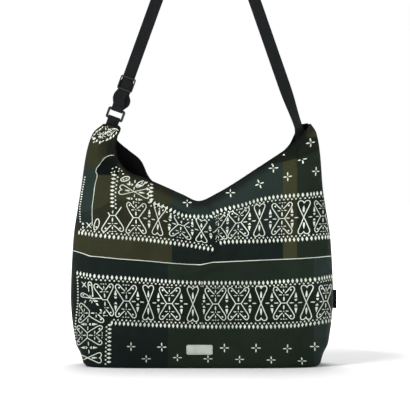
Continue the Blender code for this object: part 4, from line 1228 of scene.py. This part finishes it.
def sewn_end_line():
    """The strap's end, wrapped round the slider's centre bar and back onto itself."""
    front, back = SLIDER_FRONT - CLEARANCE - HALF_STRAP, BACK_LANE
    over = SLIDER_CENTRE_BAR / 2 + CLEARANCE + HALF_STRAP
    foot = SLIDER_DISTANCE - SLIDER_CENTRE_BAR / 2 - SEWN_END_LENGTH
    top, join = SLIDER_DISTANCE + over, SLIDER_DISTANCE - over
    tuck = back - STRAP_THICKNESS - CLEARANCE / 2
    corner = 0.0008
    return [(back, foot), (back, top - corner), (back - corner, top), (front + corner, top),
            (front, top - corner), (front, join + corner), (front + corner, join),
            (tuck - corner, join - corner), (tuck, join - 2 * corner), (tuck, foot)]


def turned(up, angle):
    across_run = Vector((up.z, 0, -up.x))
    return (across_run * math.cos(angle) + Vector((0, 1, 0)) * math.sin(angle)).normalized()


def end_chord(z):
    """Middle and direction of the sewn end between two places of the right horn's lining."""
    inset = CLOTH_TOTAL + 2 * CLEARANCE + STRAP_THICKNESS
    far = Vector(wall(1, STRAP_END_SHARE, z, inset))
    low, high = 0.5, STRAP_END_SHARE
    for _ in range(40):
        middle = (low + high) / 2
        if (Vector(wall(1, middle, z, inset)) - far).length > STRAP_WIDTH:
            low = middle
        else:
            high = middle
    near = Vector(wall(1, low, z, inset))
    return (near + far) / 2, (far - near).normalized()


def strap_stations():
    """Up the left strand, over the bend and down into the right horn."""
    plain_steps, turn_steps, run_steps, bend_steps, end_steps = 120, 60, 130, 24, 12
    up_right = Vector((-math.sin(RIGHT_LEAN), 0, math.cos(RIGHT_LEAN)))
    start = STRAP @ Vector((0, STRAP_PLANE_Y, FRONT_RUN_FOOT))
    entry = Vector((RIGHT_ENTRY_X, RIGHT_ENTRY_Y, RIGHT_TIP[1]))
    reach = ((entry.x - start.x) * up_right.z - (entry.z - start.z) * up_right.x) / (
        UP_LEFT.x * up_right.z - UP_LEFT.z * up_right.x
    )
    sweep = math.pi - LEFT_LEAN - RIGHT_LEAN
    left_run = reach - APEX_RADIUS * math.tan(sweep / 2)
    outward = Vector((-UP_LEFT.z, 0, UP_LEFT.x))
    hub = start + UP_LEFT * left_run - outward * APEX_RADIUS
    stations = []
    for k in range(plain_steps):
        run = (left_run - QUARTER_TURN_LENGTH) * k / plain_steps
        stray = SIDEWAYS * fan(FRONT_RUN_FOOT + run - FRONT_DROP, FRONT_STRAY)
        stations.append((start + UP_LEFT * run + stray, turned(UP_LEFT, 0.0)))
    for k in range(turn_steps + 1):
        distance = left_run - QUARTER_TURN_LENGTH * (1 - k / turn_steps)
        angle = math.pi / 2 * float(smoothstep(k / turn_steps))
        stations.append((start + UP_LEFT * distance, turned(UP_LEFT, angle)))
    for k in range(1, turn_steps + 1):
        radial = Matrix.Rotation(sweep * k / turn_steps, 3, "Y") @ outward
        stations.append((hub + radial * APEX_RADIUS, Vector((0, 1, 0))))
    top = stations.pop()[0]
    right_run = (top - entry).length
    for k in range(run_steps + 1):
        distance = right_run * k / run_steps
        angle = math.pi / 2 * (1 - float(smoothstep(distance / QUARTER_TURN_LENGTH)))
        if distance > QUARTER_TURN_LENGTH:
            left_over = right_run - distance
            angle = RIGHT_TURN * (1 - float(smoothstep(left_over / RIGHT_TURN_LENGTH)))
        stations.append((top.lerp(entry, k / run_steps), turned(up_right, angle)))
    end_top = RIGHT_TIP[1] - SEWN_DEPTH_IN_HORN
    end_low, across_low = end_chord(end_top - STRAP_END_LENGTH)
    end_high, across_high = end_chord(end_top)
    handle = (end_high - entry).length * 0.4
    before_bend = entry + (entry - top).normalized() * handle
    after_bend = end_high + (end_high - end_low).normalized() * handle
    across_entry = stations[-1][1]
    for k in range(1, bend_steps + 1):
        t = k / bend_steps
        point = (entry * (1 - t) ** 3 + before_bend * 3 * t * (1 - t) ** 2
                 + after_bend * 3 * t**2 * (1 - t) + end_high * t**3)
        way = across_entry.lerp(across_high, float(smoothstep(t))).normalized()
        stations.append((point, way))
    for k in range(1, end_steps + 1):
        way = across_high.lerp(across_low, k / end_steps).normalized()
        stations.append((end_high.lerp(end_low, k / end_steps), way))
    return stations


# Edging, label and tag


def rolled_edge(name, path, finish):
    """Rolled cloth along the mouth, with a slight ripple."""
    run = unit(np.gradient(path, axis=0))
    first = unit(np.cross(run, np.array([0, 1.0, 0])))
    second = np.cross(run, first)
    turn = np.linspace(0, 2 * math.pi, 12, endpoint=False)[None, :, None]
    size = EDGING_DIAMETER / 2 * (1 + 0.04 * np.sin(travelled(path) * 2 * math.pi / 0.0042))
    rings = path[:, None] + size[:, None, None] * (
        first[:, None] * np.cos(turn) + second[:, None] * np.sin(turn))
    return lofted(name, rings, finish)


def edging_path(side, first, last):
    """Along the mouth edge, from one of the CAD's columns to another."""
    outer, inner = cloth_skins(side, EDGING_COLUMNS, 30, (0.0, CLOTH_TOTAL))
    edge = (outer[:, -1] + inner[:, -1]) / 2
    first, last = (int(EDGING_COLUMNS * column / CAD_COLUMNS) for column in (first, last))
    edge = edge[first:last + 1]
    run = np.diff(edge, axis=0)
    away = unit(np.stack([-run[:, 2], np.zeros(len(run)), run[:, 0]], axis=1))
    return edge + mitres(away) * EDGING_DIAMETER * 0.15


def label_piece(finish):
    """The label with rounded ends and a puffed middle."""
    half_width, half_height = LABEL_WIDTH / 2, LABEL_HEIGHT / 2
    x, z = np.meshgrid(np.linspace(-half_width, half_width, 44),
                       np.linspace(-half_height, half_height, 18), indexing="ij")
    rim = np.minimum(half_width - np.abs(x), half_height - np.abs(z)) / 0.0012
    past = np.maximum(np.abs(z) - half_height + LABEL_CORNER, 0)
    half_row = half_width - LABEL_CORNER + np.sqrt(LABEL_CORNER ** 2 - past ** 2)
    x, z = LABEL_X + x * half_row / half_width, LABEL_CENTRE_HEIGHT + z
    share = across(x, z)
    px, py = to_photo(skin(-1, share, z, 0.0), -1)
    out = fold_height(px, py, share, z, -1)
    puff = 0.00035 * smoothstep(rim) + 0.00008 * soft_noise(px * 3, py * 3, 5, 4)
    outer = skin(-1, share, z, -(out + CLEARANCE + LABEL_THICKNESS + puff))
    inner = skin(-1, share, z, -(out + 0.00005))
    return make_object("label_patch", *grid_shell(outer, inner), finish)


def label_stitches(finish):
    """A row of thread inside the label's rim."""
    ink = Ink(-1)
    x, z = LABEL_WIDTH / 2 - 0.0016, LABEL_HEIGHT / 2 - 0.0016
    corners = []
    for sx, sz in ((-1, -1), (-1, 1), (1, 1), (1, -1), (-1, -1)):
        cx, cz = LABEL_X + sx * x, np.array(LABEL_CENTRE_HEIGHT + sz * z)
        corners.append(np.array(to_photo(skin(-1, across(cx, cz), cz, 0.0), -1)))
    for start, end in zip(corners, corners[1:]):
        dx, dy = end - start
        count = int(math.hypot(dx, dy) / 1.35)
        turn = math.degrees(math.atan2(-dy, dx))
        ink.grains([(*between(start, end, (k + 0.5) / count), turn) for k in range(count)],
                   0.42, 0.13)
    return ink.lay("label_stitching", finish, top=0.00145, bottom=0.0006)


def hem_stitches(side, name, finish):
    """Two rows of dark thread under the mouth edge."""
    ink = Ink(side)
    line = np.array(MOUTH_LINE[side])
    run = travelled(line)
    for inward in (4.4, 1.9):
        for s in np.arange(30, run[-1] - 6, 2.0):
            x, y, turn = on_line(line, run, s, 1)
            dx, dy = rotated(0.0, inward, turn)
            ink.grains([(x + dx, y + dy, turn)], 0.62, 0.16)
    return ink.lay(name, finish, top=0.00028, bottom=-0.0003, margin=0.0010)


def side_tag(finish):
    """Folded woven tag in the right side seam."""
    z = np.linspace(TAG_CENTRE_HEIGHT - TAG_HEIGHT / 2, TAG_CENTRE_HEIGHT + TAG_HEIGHT / 2, 14)
    start = float(np.max(along(RIGHT_SIDE, z))) + CLEARANCE * 0.4
    a, b = np.array([(0, -1), (0.55, -1.0), (0.85, -0.9), (0.97, -0.55), (1.0, 0), (0.97, 0.55),
                     (0.85, 0.9), (0.55, 1.0), (0, 1)]).T
    lean = 0.0004 * np.sin(np.linspace(0, math.pi, len(z)))[:, None]
    rings = np.stack(np.broadcast_arrays(
        start + a * TAG_WIDTH, b * TAG_THICKNESS / 2 + lean * a, z[:, None]), axis=-1)
    return lofted("side_tag_cloth", rings, finish, smooth=False)


def dress(piece, node=None, body="bag"):
    """Hides the node the piece stands for and parents the piece to the body it rides on."""
    if node is not None:
        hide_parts(node)
    if body is not None:
        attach(piece, body)


def build_bag():
    ink_white = plain_cloth("print_ink", srgb(205, 212, 199), 0.68, 1200.0, 0.2)
    lining = plain_cloth("lining_cloth", srgb(13, 13, 15), 0.72)
    edging = plain_cloth("edging_cloth", srgb(15, 17, 16), 0.66)
    thread = plain_cloth("dark_thread", srgb(30, 34, 30), 0.55)
    strap_black = webbing_finish("strap_webbing", srgb(15, 18, 19))
    plastic = plastic_finish("moulded_plastic", srgb(5, 6, 7))
    label_cloth = plain_cloth("woven_label", srgb(186, 196, 186), 0.62, 700.0, 0.5)
    label_thread = plain_cloth("label_thread", srgb(120, 130, 122), 0.6)

    for side, name, last_edge in ((-1, "front", CAD_COLUMNS - 2), (1, "back", CAD_COLUMNS - 3)):
        skins = cloth_skins(side, CLOTH_COLUMNS, WALL_ROWS, (0.0, OUTER_THICKNESS))
        points, faces = grid_shell(*skins)
        panel = make_object(
            name + "_cloth", points, faces, printed_cloth(name + "_printed_cloth", side),
            merge=True, attributes=cloth_attributes(points, side))
        dress(panel, name + "_panel")
        skins = cloth_skins(side, LINING_COLUMNS, LINING_ROWS, (LINING_OUTSIDE, CLOTH_TOTAL))
        inside = make_object(name + "_lining_cloth", *grid_shell(*skins), lining, merge=True)
        dress(inside, name + "_lining")
        rolled = rolled_edge(name + "_rolled_edge", edging_path(side, 4, last_edge), edging)
        dress(rolled, name + "_edging")
        dress(hem_stitches(side, name + "_hem_stitching", thread))

    ink, cut = Ink(-1), Ink(-1)
    front_bands(ink, cut)
    for figures in (lower_left_corner, crosses, folded_corner, horn_print):
        figures(ink)
    dress(ink.lay("front_print", ink_white))
    dress(cut.lay("front_print_cut_figures", ink_white, keep=shown_when_cut))
    dress(back_print().lay("back_print", ink_white))

    low_line, back_line = strap_return_lines()
    strap = webbing("strap_long_run", strap_stations(), strap_black)
    dress(strap, "shoulder_strap")
    tab = webbing("loop_tab", band_stations(ring_tab_line()), strap_black)
    dress(tab, "ring_tab")
    sewn = webbing("strap_end_wrap", band_stations(sewn_end_line()), strap_black, END_WRAP_WIDTH)
    dress(sewn, "strap_sewn_end", "slider")
    low_turn = webbing("strap_loop_turn", band_stations(low_line), strap_black)
    dress(low_turn, "strap_return", None)
    back_run = webbing("strap_back_run", band_stations(back_line, BACK_STRAY), strap_black)
    dress(back_run, body=None)

    def on_strap(z):
        return Matrix.Translation((BAG_SHIFT, 0, 0)) @ STRAP @ Vector((0, 0, z))

    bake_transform(low_turn)
    on_strap(back_line[0][1])
    on_strap(back_line[-1][1])
    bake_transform(back_run)
    for node in ("rectangular_loop", "slider"):
        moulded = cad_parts[node]
        moulded.data.materials.clear()
        moulded.data.materials.append(plastic)

    dress(label_piece(label_cloth), "label")
    dress(label_stitches(label_thread))
    dress(side_tag(edging), "side_tag")


def area_light(name, place, size, power):
    """A round light aimed at the bag's lower half."""
    light = bpy.data.lights.new(name, "AREA")
    light.shape = "DISK"
    light.size = size
    light.energy = power
    obj = bpy.data.objects.new(name, light)
    bpy.context.scene.collection.objects.link(obj)
    obj.location = place
    obj.rotation_mode = "QUATERNION"
    obj.rotation_quaternion = (Vector((0, 0, 0.2)) - Vector(place)).to_track_quat("-Z", "Y")
    return obj


def build_stage():
    scene = bpy.context.scene
    camera = bpy.data.objects.new("camera", bpy.data.cameras.new("camera"))
    scene.collection.objects.link(camera)
    camera.data.lens = LENS
    camera.data.sensor_width = SENSOR
    camera.location = EYE
    camera.rotation_mode = "QUATERNION"
    camera.rotation_quaternion = Vector(AHEAD).to_track_quat("-Z", "Y")
    scene.camera = camera

    # White paper that glows more the further it lies from the bag, so that it runs out to white
    bpy.ops.mesh.primitive_plane_add(size=12.0, location=(0, 0, -0.0004))
    floor = bpy.context.object
    floor.name = "floor"
    paper = Finish("floor_paper", (0.93, 0.93, 0.93), 0.9, 0.0)
    spot = paper.node("ShaderNodeTexCoord").outputs["Object"]
    distance = paper.node("ShaderNodeVectorMath", spot, operation="LENGTH").outputs["Value"]
    paper.put(paper.inputs["Emission Color"], (1.0, 1.0, 1.0, 1.0))
    paper.put(paper.inputs["Emission Strength"], paper.ramp(distance, 0.36, 0.62))
    floor.data.materials.append(paper.material)

    # The world is full white to the camera and dimmer as a light
    world = bpy.data.worlds.new("world")
    scene.world = world
    world.use_nodes = True
    tree = world.node_tree
    background = tree.nodes["Background"]
    rays = tree.nodes.new("ShaderNodeLightPath")
    strength = tree.nodes.new("ShaderNodeMapRange")
    for socket, number in zip(strength.inputs[1:5], (0.0, 1.0, 0.36, 1.0)):
        socket.default_value = number
    tree.links.new(rays.outputs["Is Camera Ray"], strength.inputs[0])
    tree.links.new(strength.outputs[0], background.inputs["Strength"])
    background.inputs["Color"].default_value = (1, 1, 1, 1)

    area_light("key", (-1.7, -1.7, 2.5), 1.3, 72)
    area_light("fill", (1.9, -2.1, 1.2), 1.8, 14)
    area_light("top", (0.0, 1.1, 2.5), 1.7, 42)
    scene.view_settings.view_transform = "Standard"


build_bag()
build_stage()
